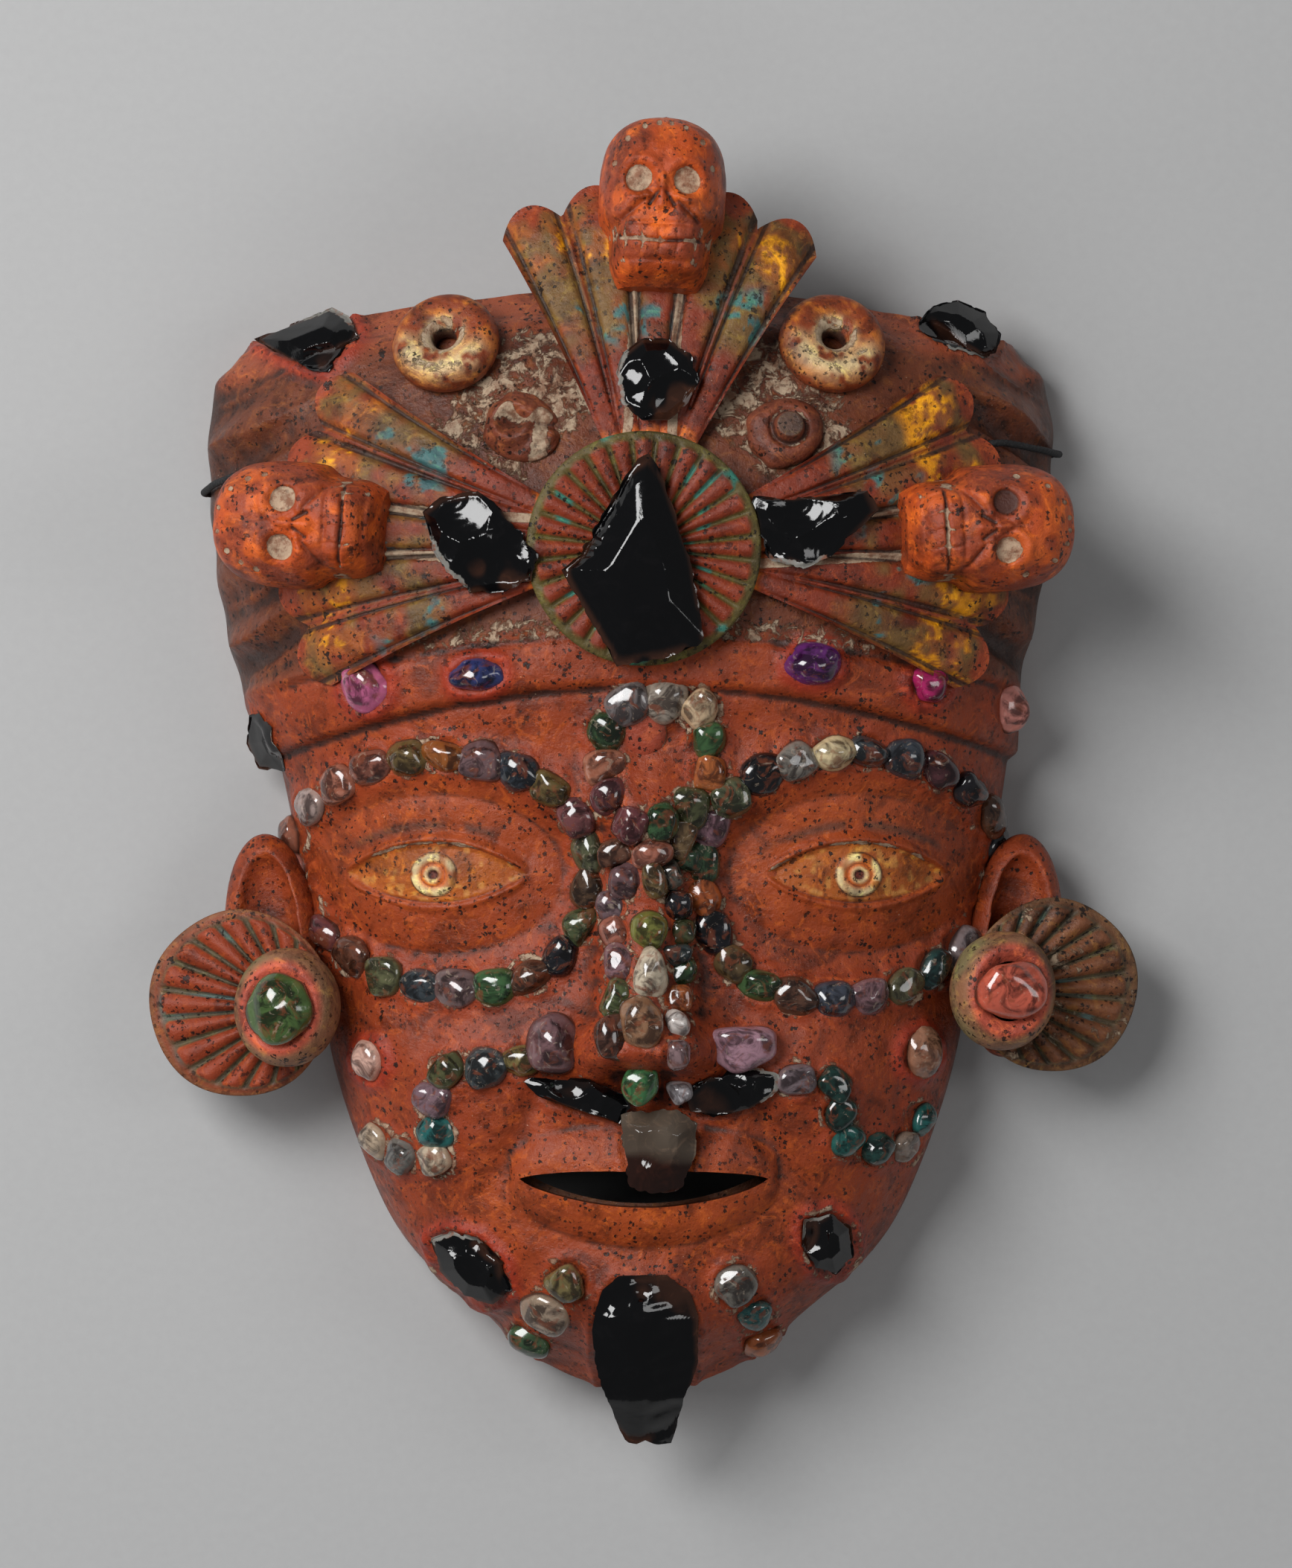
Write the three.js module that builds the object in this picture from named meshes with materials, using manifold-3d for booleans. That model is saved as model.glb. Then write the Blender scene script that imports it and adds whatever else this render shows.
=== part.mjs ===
// A fired-clay mask with a feathered headdress, set with tumbled stones and obsidian flakes.
// It lies on its back rim with the face up: +X to the viewer's right, +Y to the crown, +Z out of the face.
// All sizes are millimetres, and the origin is the middle of the footprint, on the plane of the back rim.
import * as THREE from "three";
import { mergeVertices } from "three/addons/utils/BufferGeometryUtils.js";
import Module from "manifold-3d";

const wasm = await Module();
wasm.setup();

// The clay shell: the headdress above and the face below, open at the back.
const TOP_Y = 149;
const CHIN_Y = -183;
const HEADDRESS_HALF_LEFT = 130;
const HEADDRESS_HALF_RIGHT = 122;
const TEMPLE_HALF = 110;
const CHEEK_HALF = 95;
const MOUTH_HALF = 82;
const JAW_HALF = 64;
const CHIN_HALF = 42;
const TOP_CORNER_DROP = 16;
const CHIN_CORNER_RISE = 16;
const EDGE_HEIGHT = 7;
const TOP_EDGE_HEIGHT = 42;
const HEADDRESS_HEIGHT = 76;
const FACE_HEIGHT = 66;
const CHIN_EDGE_HEIGHT = 24;
const WALL = 8;
const SHELL_COLUMNS = 22;
const SHELL_ROWS = 32;
const CAVITY_COLUMNS = 8;
const CAVITY_ROWS = 9;

// The headband, and the field of the headdress above it.
const BAND_BOTTOM_Y = 29;
const BAND_TOP_Y = 43;
const BAND_BOTTOM_SAG = 0.0017;
const BAND_TOP_SAG = 0.0013;
const BAND_RAISE = 3;
const FIELD_RAISE = 2;
const FIELD_TOP_Y = 138;
const FOLD_DEPTH = 2.4;
const FOLD_PITCH = 21;

// The face, on the canon of equal thirds: brow to nose base equals nose base to chin,
// the mouth lies a third of the way down the lower part, and the eyes a third of the way below the brow.
const BROW_Y = 4;
const NOSE_BASE_Y = (BROW_Y + CHIN_Y) / 2;
const MOUTH_Y = NOSE_BASE_Y - (NOSE_BASE_Y - CHIN_Y) / 3;
const EYE_Y = BROW_Y - (BROW_Y - NOSE_BASE_Y) / 3;
const EYE_HALF_WIDTH = 27;
const EYE_HALF_HEIGHT = 9.5;
const SOCKET_DEPTH = 4.5;
const LID_RAISE = 1.6;
const EYE_DISC_RADIUS = 6.8;
const NOSE_BRIDGE_HALF = 9;
const NOSE_WING_X = 15;
const NOSE_BRIDGE_RAISE = 8;
const NOSE_TIP_RAISE = 22;
const MOUTH_HALF_WIDTH = 36;
const MOUTH_OPENING = 11;
const MOUTH_CURVE = 2.5;
const LIP_RAISE = 6;
const LIP_HEIGHT = 13;

// Rings of stones round the eyes, as ellipses with a pointed outer end.
const RING_REACH = TEMPLE_HALF * 0.418;
const RING_LEFT = { x: -TEMPLE_HALF * 0.564, y: -26, a: RING_REACH, b: 35, tilt: 6, stones: 23 };
const RING_RIGHT = { x: TEMPLE_HALF * 0.577, y: -27, a: RING_REACH, b: 37, tilt: 9, stones: 24 };
const RING_OUTER_FULLNESS = 1.75;
const RING_INNER_FULLNESS = 2.4;
const STONE_WIDTH = 9;
const STONE_RAISE = 3;
const STONE_BASE = 0.9;
const FLAKE_KEEL = 1.5;
const FLAKE_LEAN = 0.6;

// The three feather fans and the three skulls, each from one mould, set round the rosette.
const ROSETTE_Y = 70;
const ROSETTE_RADIUS = 35;
const ROSETTE_FLUTES = 28;
const ROSETTE_THICKNESS = 4;
const ROSETTE_Z = HEADDRESS_HEIGHT + 12;
const FEATHERS = 5;
const FEATHER_PITCH_DEG = 11;
const FAN_INNER_RADIUS = 30;
const FAN_OUTER_RADIUS = 112;
const FAN_THICKNESS = 5.5;
const FAN_CLEARANCE = 2;
const SKULL_LENGTH = 54;
const SKULL_WIDTH = 38;
const SKULL_HEIGHT = 25;
const SKULL_JAW_RADIUS = 77;
const SKULL_EYE_RADIUS = 4.3;
const SKULL_EYE_SHARE = 0.63;
const SKULL_NOSE_SHARE = 0.5;
const SKULL_MOUTH_SHARE = 0.29;

// Pierced beads, ear discs and ear spools.
const BEAD_RADIUS = 16.2;
const BEAD_HOLE_RADIUS = 3.2;
const BEAD_THICKNESS = 12;
const BEAD_TOP_MARGIN = 20;
const DISC_LEFT = { side: -1, y: -66.5, radius: 28.3, hubY: -67.5, beyond: 24.5, hubBeyond: 7.5 };
const DISC_RIGHT = { side: 1, y: -61, radius: 26.3, hubY: -62.5, beyond: 25.3, hubBeyond: 7.3 };
const DISC_Z = 34;
const DISC_THICKNESS = 6;
const DISC_FLUTES = 18;
const SPOOL_RADIUS = 17;
const SPOOL_HEIGHT = 20;

// The black hanging cord, laid through a notch in the rim on each side.
const CORD_DIAMETER = 2.2;
const CORD_Y_LEFT = 88;
const CORD_Y_RIGHT = 100;
const CORD_STEPS = 44;
const NOTCH_WIDTH = 6;
const NOTCH_HEIGHT = 8;

// Pieces that rest on each other keep this gap.
const SEAT_GAP = 0.3;
const SIMPLE = 0.22;

const rad = (degrees) => (degrees * Math.PI) / 180;
const lerp = (a, b, t) => a + (b - a) * t;
const clamp = (x, low, high) => Math.min(high, Math.max(low, x));
const step = (a, b, x) => {
  const t = clamp((x - a) / (b - a), 0, 1);
  return t * t * (3 - 2 * t);
};
const bell = (x, centre, width) => Math.exp(-(((x - centre) / width) ** 2));
const noise = (n) => (Math.sin(n * 12.9898) * 43758.5453) % 1;

// A smooth curve through stations [position, value], whose positions fall.
function through(stations, position) {
  const last = stations.length - 1;
  let i = 0;
  while (i < last - 1 && position < stations[i + 1][0]) i += 1;
  const [p0, v0] = stations[i];
  const [p1, v1] = stations[i + 1];
  const slope = (a, b) => (b[1] - a[1]) / (b[0] - a[0]);
  const m0 = i > 0 ? slope(stations[i - 1], stations[i + 1]) : slope(stations[i], stations[i + 1]);
  const m1 = i < last - 1 ? slope(stations[i], stations[i + 2]) : slope(stations[i], stations[i + 1]);
  const h = p1 - p0;
  const t = clamp((position - p0) / h, 0, 1);
  return (
    (1 + 2 * t) * (1 - t) ** 2 * v0 +
    t * (1 - t) ** 2 * h * m0 +
    t * t * (3 - 2 * t) * v1 +
    t * t * (t - 1) * h * m1
  );
}

const halfWidths = (headdress) => [
  [TOP_Y, headdress - 10],
  [TOP_Y - 14, headdress - 2],
  [ROSETTE_Y + 30, headdress],
  [ROSETTE_Y - 10, headdress - 3],
  [BAND_BOTTOM_Y, headdress - 10],
  [BROW_Y, TEMPLE_HALF],
  [EYE_Y - 30, lerp(TEMPLE_HALF, CHEEK_HALF, 0.7)],
  [NOSE_BASE_Y, CHEEK_HALF - 2],
  [MOUTH_Y, MOUTH_HALF],
  [lerp(MOUTH_Y, CHIN_Y, 0.6), JAW_HALF],
  [CHIN_Y, CHIN_HALF],
];
const LEFT_HALF_WIDTHS = halfWidths(HEADDRESS_HALF_LEFT);
const RIGHT_HALF_WIDTHS = halfWidths(HEADDRESS_HALF_RIGHT);

const CREST_HEIGHTS = [
  [TOP_Y, TOP_EDGE_HEIGHT],
  [TOP_Y - 16, TOP_EDGE_HEIGHT + 16],
  [ROSETTE_Y + 30, HEADDRESS_HEIGHT - 5],
  [ROSETTE_Y, HEADDRESS_HEIGHT],
  [BAND_BOTTOM_Y, HEADDRESS_HEIGHT],
  [BROW_Y, lerp(HEADDRESS_HEIGHT, FACE_HEIGHT, 0.5)],
  [EYE_Y, FACE_HEIGHT],
  [NOSE_BASE_Y, FACE_HEIGHT],
  [MOUTH_Y, FACE_HEIGHT - 3],
  [lerp(MOUTH_Y, CHIN_Y, 0.6), FACE_HEIGHT - 13],
  [CHIN_Y, CHIN_EDGE_HEIGHT],
];

const topDrop = (rowY) => TOP_CORNER_DROP * step(ROSETTE_Y + 10, TOP_Y, rowY);
const chinRise = (rowY) => CHIN_CORNER_RISE * step(MOUTH_Y, CHIN_Y, rowY);

// The plain shell, as a point at u (-1 left edge to 1 right edge) on the row whose middle is at rowY.
function shellPoint(u, rowY, inset = 0) {
  const half = through(u < 0 ? LEFT_HALF_WIDTHS : RIGHT_HALF_WIDTHS, rowY) - inset;
  const crest = through(CREST_HEIGHTS, rowY) - inset;
  const across = Math.abs(u);
  const round = (1 - across ** 2.6) ** (1 / 2.2);
  const y = rowY + (chinRise(rowY) - topDrop(rowY)) * u * u;
  return new THREE.Vector3(u * half, y, EDGE_HEIGHT + (crest - EDGE_HEIGHT) * round);
}

function shellNormal(u, rowY) {
  const d = 0.004;
  const a = shellPoint(clamp(u + d, -1, 1), rowY).sub(shellPoint(clamp(u - d, -1, 1), rowY));
  const b = shellPoint(u, Math.min(rowY + 1, TOP_Y)).sub(shellPoint(u, Math.max(rowY - 1, CHIN_Y)));
  return a.cross(b).normalize();
}

// The row and the share across it that lie at x, y.
function shellAt(x, y) {
  let rowY = clamp(y, CHIN_Y, TOP_Y);
  let u = 0;
  for (let i = 0; i < 8; i += 1) {
    u = clamp(x / through(x < 0 ? LEFT_HALF_WIDTHS : RIGHT_HALF_WIDTHS, rowY), -0.995, 0.995);
    rowY = clamp(y - (chinRise(rowY) - topDrop(rowY)) * u * u, CHIN_Y, TOP_Y);
  }
  return { u, rowY };
}

function noseRelief(x, y) {
  const t = clamp((BROW_Y - 6 - y) / (BROW_Y - 6 - NOSE_BASE_Y - 8), 0, 1);
  const raise = lerp(NOSE_BRIDGE_RAISE, NOSE_TIP_RAISE, t ** 1.4);
  const half = lerp(NOSE_BRIDGE_HALF, NOSE_BRIDGE_HALF + 3, t);
  const ends = step(BROW_Y + 12, BROW_Y - 10, y) * step(NOSE_BASE_Y - 3, NOSE_BASE_Y + 9, y);
  const wings = bell(Math.abs(x), NOSE_WING_X, 8.5) * bell(y, NOSE_BASE_Y + 10, 9) * 11;
  return raise * Math.exp(-((Math.abs(x) / (half * 1.15)) ** 2.4)) * ends + wings;
}

function eyeRelief(x, y) {
  const ring = x < 0 ? RING_LEFT : RING_RIGHT;
  const dx = x - ring.x;
  const dy = y - EYE_Y;
  const socket = Math.exp(-((Math.hypot(dx / (ring.a * 0.82), dy / (ring.b * 0.8)) ** 4)));
  const ball = Math.max(0, 1 - (dx / (EYE_HALF_WIDTH * 1.4)) ** 2 - (dy / (EYE_HALF_HEIGHT * 2.5)) ** 2);
  const lid = EYE_HALF_HEIGHT * Math.max(0, 1 - (dx / EYE_HALF_WIDTH) ** 2);
  const inside = step(1.5, -1, Math.abs(dy) - lid) * step(EYE_HALF_WIDTH, EYE_HALF_WIDTH - 4, Math.abs(dx));
  return -SOCKET_DEPTH * socket + SOCKET_DEPTH * 1.6 * ball ** 0.9 - 1.3 * inside;
}

const mouthLine = (x) => MOUTH_Y + MOUTH_CURVE * (x / MOUTH_HALF_WIDTH) ** 2;

function mouthRelief(x, y) {
  const across = Math.max(0, 1 - (x / (MOUTH_HALF_WIDTH * 1.12)) ** 2);
  const dy = y - mouthLine(x);
  const reach = MOUTH_OPENING / 2 + LIP_HEIGHT * across ** 0.6;
  const lips = Math.max(0, 1 - (Math.abs(dy) / reach) ** 2.6);
  const fold = bell(Math.abs(x), 30 + (NOSE_BASE_Y - y) * 0.45, 5) * step(MOUTH_Y - 8, MOUTH_Y + 6, y);
  const foldTop = step(NOSE_BASE_Y + 8, NOSE_BASE_Y - 6, y);
  return LIP_RAISE * across ** 0.5 * lips - 2 * fold * foldTop;
}

function faceRelief(x, y) {
  const arch = Math.abs(Math.abs(x) - TEMPLE_HALF / 2) * 0.12;
  const brow = 3.5 * bell(y, BROW_Y - 4 - arch, 11) * step(TEMPLE_HALF + 2, TEMPLE_HALF * 0.64, Math.abs(x));
  const cheek = 4 * bell(Math.abs(x), CHEEK_HALF * 0.55, CHEEK_HALF * 0.27) * bell(y, NOSE_BASE_Y + 2, 20);
  const chin = 7 * bell(x, 0, 24) * bell(y, lerp(MOUTH_Y, CHIN_Y, 0.62), 16);
  return brow + cheek + chin + noseRelief(x, y) + eyeRelief(x, y) + mouthRelief(x, y);
}

function headdressRelief(x, y, u) {
  const bandBottom = BAND_BOTTOM_Y - BAND_BOTTOM_SAG * x * x;
  const bandTop = BAND_TOP_Y - BAND_TOP_SAG * x * x;
  const band = BAND_RAISE * step(bandBottom - 2, bandBottom + 2, y) * step(bandTop + 3, bandTop - 2, y);
  const above = step(bandTop - 2, bandTop + 3, y);
  const field = FIELD_RAISE * above * step(FIELD_TOP_Y + 5, FIELD_TOP_Y, y + 0.0011 * x * x);
  const side = step(0.76, 0.9, Math.abs(u)) * step(1.01, 0.97, Math.abs(u)) * above;
  const folds = FOLD_DEPTH * Math.sin((2 * Math.PI * (y + 0.55 * Math.abs(x))) / FOLD_PITCH);
  return band + field + folds * side * step(FIELD_TOP_Y - 4, FIELD_TOP_Y - 16, y);
}

// Height of the carving over the plain shell.
function relief(x, y, u) {
  const brow = BAND_BOTTOM_Y - BAND_BOTTOM_SAG * x * x - 3;
  const face = step(brow, brow - 14, y) * step(1.0, 0.9, Math.abs(u));
  return lerp(headdressRelief(x, y, u), faceRelief(x, y), face);
}

function carvedPoint(u, rowY) {
  const point = shellPoint(u, rowY);
  return point.addScaledVector(shellNormal(u, rowY), relief(point.x, point.y, u));
}

// The clay surface at x, y, with its normal.
function surface(x, y) {
  const { u, rowY } = shellAt(x, y);
  const point = carvedPoint(u, rowY);
  return { point, normal: shellNormal(u, rowY) };
}

// A closed solid from a geometry: its vertices are merged and its empty triangles dropped.
function solid(geometry) {
  const bare = geometry.index ? geometry.toNonIndexed() : geometry.clone();
  bare.deleteAttribute("normal");
  bare.deleteAttribute("uv");
  const merged = mergeVertices(bare, 1e-3);
  const index = merged.index.array;
  const kept = [];
  for (let i = 0; i < index.length; i += 3) {
    const [a, b, c] = [index[i], index[i + 1], index[i + 2]];
    if (a !== b && b !== c && c !== a) kept.push(a, b, c);
  }
  const vertProperties = merged.attributes.position.array;
  const mesh = new wasm.Mesh({ numProp: 3, vertProperties, triVerts: new Uint32Array(kept) });
  return new wasm.Manifold(mesh);
}

function fromTriangles(points) {
  const positions = new Float32Array(points.length * 3);
  points.forEach((p, i) => positions.set([p.x, p.y, p.z], i * 3));
  const geometry = new THREE.BufferGeometry();
  geometry.setAttribute("position", new THREE.BufferAttribute(positions, 3));
  return solid(geometry);
}

// A slab between a front and a back sheet, each a function of column and row that gives a point.
// Columns run to the right and rows run down.
function slab(columns, rows, front, back) {
  const triangles = [];
  const quad = (a, b, c, d) => triangles.push(a, b, c, a, c, d);
  for (let j = 0; j < rows; j += 1) {
    for (let i = 0; i < columns; i += 1) {
      quad(front(i, j), front(i, j + 1), front(i + 1, j + 1), front(i + 1, j));
      quad(back(i, j), back(i + 1, j), back(i + 1, j + 1), back(i, j + 1));
    }
  }
  for (let i = 0; i < columns; i += 1) {
    quad(front(i, 0), front(i + 1, 0), back(i + 1, 0), back(i, 0));
    quad(front(i + 1, rows), front(i, rows), back(i, rows), back(i + 1, rows));
  }
  for (let j = 0; j < rows; j += 1) {
    quad(front(0, j + 1), front(0, j), back(0, j), back(0, j + 1));
    quad(front(columns, j), front(columns, j + 1), back(columns, j + 1), back(columns, j));
  }
  return fromTriangles(triangles);
}

// A closed solid through rings of points, lowest first, each running anticlockwise seen from above.
function stack(rings) {
  const triangles = [];
  const centre = (ring) =>
    ring.reduce((sum, p) => sum.add(p), new THREE.Vector3()).divideScalar(ring.length);
  const n = rings[0].length;
  const [bottom, top] = [centre(rings[0]), centre(rings[rings.length - 1])];
  for (let i = 0; i < n; i += 1) {
    const k = (i + 1) % n;
    triangles.push(bottom, rings[0][k], rings[0][i]);
    for (let r = 0; r < rings.length - 1; r += 1) {
      const [low, high] = [rings[r], rings[r + 1]];
      triangles.push(low[i], low[k], high[k], low[i], high[k], high[i]);
    }
    triangles.push(top, rings[rings.length - 1][i], rings[rings.length - 1][k]);
  }
  return fromTriangles(triangles);
}

// Places a solid: first turned about its own +Z, then set with +Z along the normal at a point.
function placed(shape, point, normal, turnDegrees = 0) {
  const tilt = new THREE.Quaternion().setFromUnitVectors(new THREE.Vector3(0, 0, 1), normal);
  const turn = new THREE.Quaternion().setFromAxisAngle(new THREE.Vector3(0, 0, 1), rad(turnDegrees));
  const matrix = new THREE.Matrix4().compose(point, tilt.multiply(turn), new THREE.Vector3(1, 1, 1));
  return shape.transform(matrix.elements);
}

const joined = (solids) => wasm.Manifold.union(solids);
const lifted = (shape) => shape.translate(0, 0, SEAT_GAP);
const wrapped = (shape) => grown(shape.hull());

// A shape grown by the seating gap on every side.
function grown(shape) {
  const { min, max } = shape.boundingBox();
  const middle = min.map((low, k) => (low + max[k]) / 2);
  const scale = min.map((low, k) => 1 + (2 * SEAT_GAP) / (max[k] - low));
  return shape.translate(middle.map((k) => -k)).scale(scale).translate(middle);
}

const across = (i, count) => Math.sin((Math.PI / 2) * (-1 + (2 * i) / count));

// The whole dome under the carved surface, grown outwards by a gap.
function dome(gap) {
  const u = (i) => across(i, SHELL_COLUMNS);
  const row = (j) => lerp(TOP_Y, CHIN_Y, j / SHELL_ROWS);
  const out = (i, j) => {
    const normal = shellNormal(u(i), row(j));
    const edge = i === 0 || i === SHELL_COLUMNS || j === 0 || j === SHELL_ROWS;
    return carvedPoint(u(i), row(j)).addScaledVector(edge ? normal.setZ(0).normalize() : normal, gap);
  };
  return slab(SHELL_COLUMNS, SHELL_ROWS, out, (i, j) => out(i, j).setZ(0));
}

function shellSolid() {
  const outer = dome(0);
  const below = -5;
  const innerU = (i) => across(i, CAVITY_COLUMNS);
  const innerRow = (j) => lerp(TOP_Y - WALL, CHIN_Y + WALL, j / CAVITY_ROWS);
  const cavity = slab(
    CAVITY_COLUMNS,
    CAVITY_ROWS,
    (i, j) => shellPoint(innerU(i), innerRow(j), WALL),
    (i, j) => shellPoint(innerU(i), innerRow(j), WALL).setZ(below),
  );
  return outer.subtract(cavity);
}

// The slot between the lips, cut straight through the shell.
function mouthSlot() {
  const steps = 8;
  const edge = (sign) =>
    Array.from({ length: steps + 1 }, (_, i) => {
      const x = lerp(-MOUTH_HALF_WIDTH, MOUTH_HALF_WIDTH, i / steps);
      const open = (MOUTH_OPENING / 2) * (1 - (x / MOUTH_HALF_WIDTH) ** 2) ** 0.7;
      return new THREE.Vector2(x, mouthLine(x) + sign * open);
    });
  const outline = new THREE.Shape([...edge(-1), ...edge(1).reverse().slice(1, -1)]);
  return solid(new THREE.ExtrudeGeometry(outline, { depth: 200, bevelEnabled: false }));
}

// The ear ornaments hang at the edge of the face, beside the cheeks.
const edgeAt = (y) => through(LEFT_HALF_WIDTHS, y);
[DISC_LEFT, DISC_RIGHT].forEach((disc) => {
  disc.x = disc.side * (edgeAt(disc.y) + disc.beyond);
  disc.hubX = disc.side * (edgeAt(disc.y) + disc.hubBeyond);
});

// An ear: a flattened lobe behind the disc, hollowed inside its rim.
function ear(side) {
  const lobe = solid(new THREE.SphereGeometry(1, 10, 6)).scale([15, 34, 13]);
  const hollow = solid(new THREE.SphereGeometry(1, 8, 5)).scale([9, 24, 9]);
  const shape = lobe.subtract(hollow.translate(-side * 2, 3, 9));
  const y = EYE_Y - 22;
  return shape.rotate(0, side * 20, -side * 6).translate(side * (edgeAt(y) + 11), y, DISC_Z - 15);
}

// Two bosses of the headdress field: a rounded one with a button, and a broken one.
function boss(x, y, turnDegrees, broken) {
  const outline = (scale, z) =>
    Array.from({ length: 10 }, (_, i) => {
      const angle = (2 * Math.PI * i) / 10;
      const reach = Math.abs(Math.cos(angle)) > 0.75 && Math.cos(angle) < 0 ? 0.82 : 1;
      return new THREE.Vector3(13 * scale * reach * Math.cos(angle), 10.5 * scale * Math.sin(angle), z);
    });
  let shape = stack([outline(1, -6), outline(1, 2.4), outline(0.78, 4)]);
  const knob = solid(new THREE.CylinderGeometry(3.8, 4.2, 4, 10).rotateX(Math.PI / 2));
  const slot = solid(new THREE.BoxGeometry(20, 3.4, 4).rotateZ(0.4));
  shape = broken ? shape.subtract(slot.translate(4, 2, 4)) : shape.add(knob.translate(2, 0, 4.2));
  const seat = surface(x, y);
  return placed(shape, seat.point, seat.normal, turnDegrees);
}

// The teardrop boss at the middle of the forehead.
function teardrop() {
  const outline = (scale, z) =>
    Array.from({ length: 12 }, (_, i) => {
      const angle = (2 * Math.PI * i) / 12;
      const narrow = 1 - 0.3 * step(0.2, -1, Math.sin(angle));
      return new THREE.Vector3(6.4 * scale * narrow * Math.cos(angle), 9.5 * scale * Math.sin(angle), z);
    });
  const seat = surface(0, 14);
  return placed(stack([outline(1.1, -4), outline(1, 1.4), outline(0.7, 2.4)]), seat.point, seat.normal);
}

// An open eye: an almond of clay with a round disc in its middle.
function eye(ring) {
  const count = 14;
  const almond = (scale, z) =>
    Array.from({ length: count }, (_, i) => {
      const angle = (2 * Math.PI * i) / count;
      const height = EYE_HALF_HEIGHT * Math.sin(angle) * Math.abs(Math.sin(angle)) ** 0.3;
      return new THREE.Vector3(scale * EYE_HALF_WIDTH * Math.cos(angle), scale * height, z);
    });
  const lids = stack([almond(1.1, -5), almond(1.06, LID_RAISE), almond(0.9, LID_RAISE + 0.6)]);
  const cylinder = new THREE.CylinderGeometry(EYE_DISC_RADIUS, EYE_DISC_RADIUS, LID_RAISE + 1.8, 12);
  const disc = solid(cylinder.rotateX(Math.PI / 2)).translate(0, 0, LID_RAISE / 2 + 0.9);
  const seat = surface(ring.x, EYE_Y);
  return placed(lids.add(disc), seat.point, seat.normal);
}

// A notch in the rim that lets the cord pass under it.
function cordNotch(side) {
  const box = solid(new THREE.BoxGeometry(WALL * 5, NOTCH_WIDTH, NOTCH_HEIGHT * 2));
  const [edge, y] = side < 0 ? [HEADDRESS_HALF_LEFT, CORD_Y_LEFT] : [HEADDRESS_HALF_RIGHT, CORD_Y_RIGHT];
  return box.translate(side * edge, y, 0);
}

const modelled = [
  ear(-1),
  ear(1),
  boss(41, 104, 25, false),
  boss(-37, 106, -30, true),
  teardrop(),
  eye(RING_LEFT),
  eye(RING_RIGHT),
];
const maskShell = shellSolid()
  .add(joined(modelled))
  .subtract(mouthSlot())
  .subtract(cordNotch(-1))
  .subtract(cordNotch(1));

const clayHeight = (x, y) =>
  Math.abs(x) < TEMPLE_HALF && y < TOP_Y - 6 ? surface(x, y).point.z : 0;

// The plane-like sheet that carries the feathers: it leaves the shell where the shell turns back.
function fanSheetHeight(x, y) {
  const free = HEADDRESS_HEIGHT + 4 - 0.0021 * x * x - 0.0017 * Math.max(0, y - ROSETTE_Y) ** 2;
  return Math.max(free, clayHeight(x, y) + FAN_THICKNESS);
}

// One fan of feathers, opening from the rosette along the given direction.
function fan(axisDegrees) {
  const perFeather = 3;
  const rings = 5;
  const halfSpan = (FEATHERS * FEATHER_PITCH_DEG) / 2;
  const at = (i, j, under) => {
    const share = i / (FEATHERS * perFeather);
    const offset = lerp(halfSpan, -halfSpan, share);
    const feather = Math.min(FEATHERS - 1, Math.floor(i / perFeather));
    const inFeather = i / perFeather - feather;
    const middle = Math.abs(feather - (FEATHERS - 1) / 2);
    const tip = FAN_OUTER_RADIUS - 7 * (2 * inFeather - 1) ** 2 - 1.5 * middle;
    const along = 1 - (1 - j / rings) ** 1.25;
    const radius = lerp(tip, FAN_INNER_RADIUS, along);
    const angle = rad(axisDegrees + offset * lerp(0.86, 1, 1 - along));
    const x = radius * Math.cos(angle);
    const y = ROSETTE_Y + radius * Math.sin(angle);
    const rib = 1.6 * (1 - Math.abs(2 * inFeather - 1)) ** 2;
    const curl = -3 * step(0.12, 0, along);
    const top = fanSheetHeight(x, y) + rib + curl;
    const bottom = Math.max(top - FAN_THICKNESS, clayHeight(x, y) + FAN_CLEARANCE);
    return new THREE.Vector3(x, y, under ? Math.min(bottom, top - 1.5) : top);
  };
  const columns = FEATHERS * perFeather;
  return slab(columns, rings, (i, j) => at(i, j, false), (i, j) => at(i, j, true));
}

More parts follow.
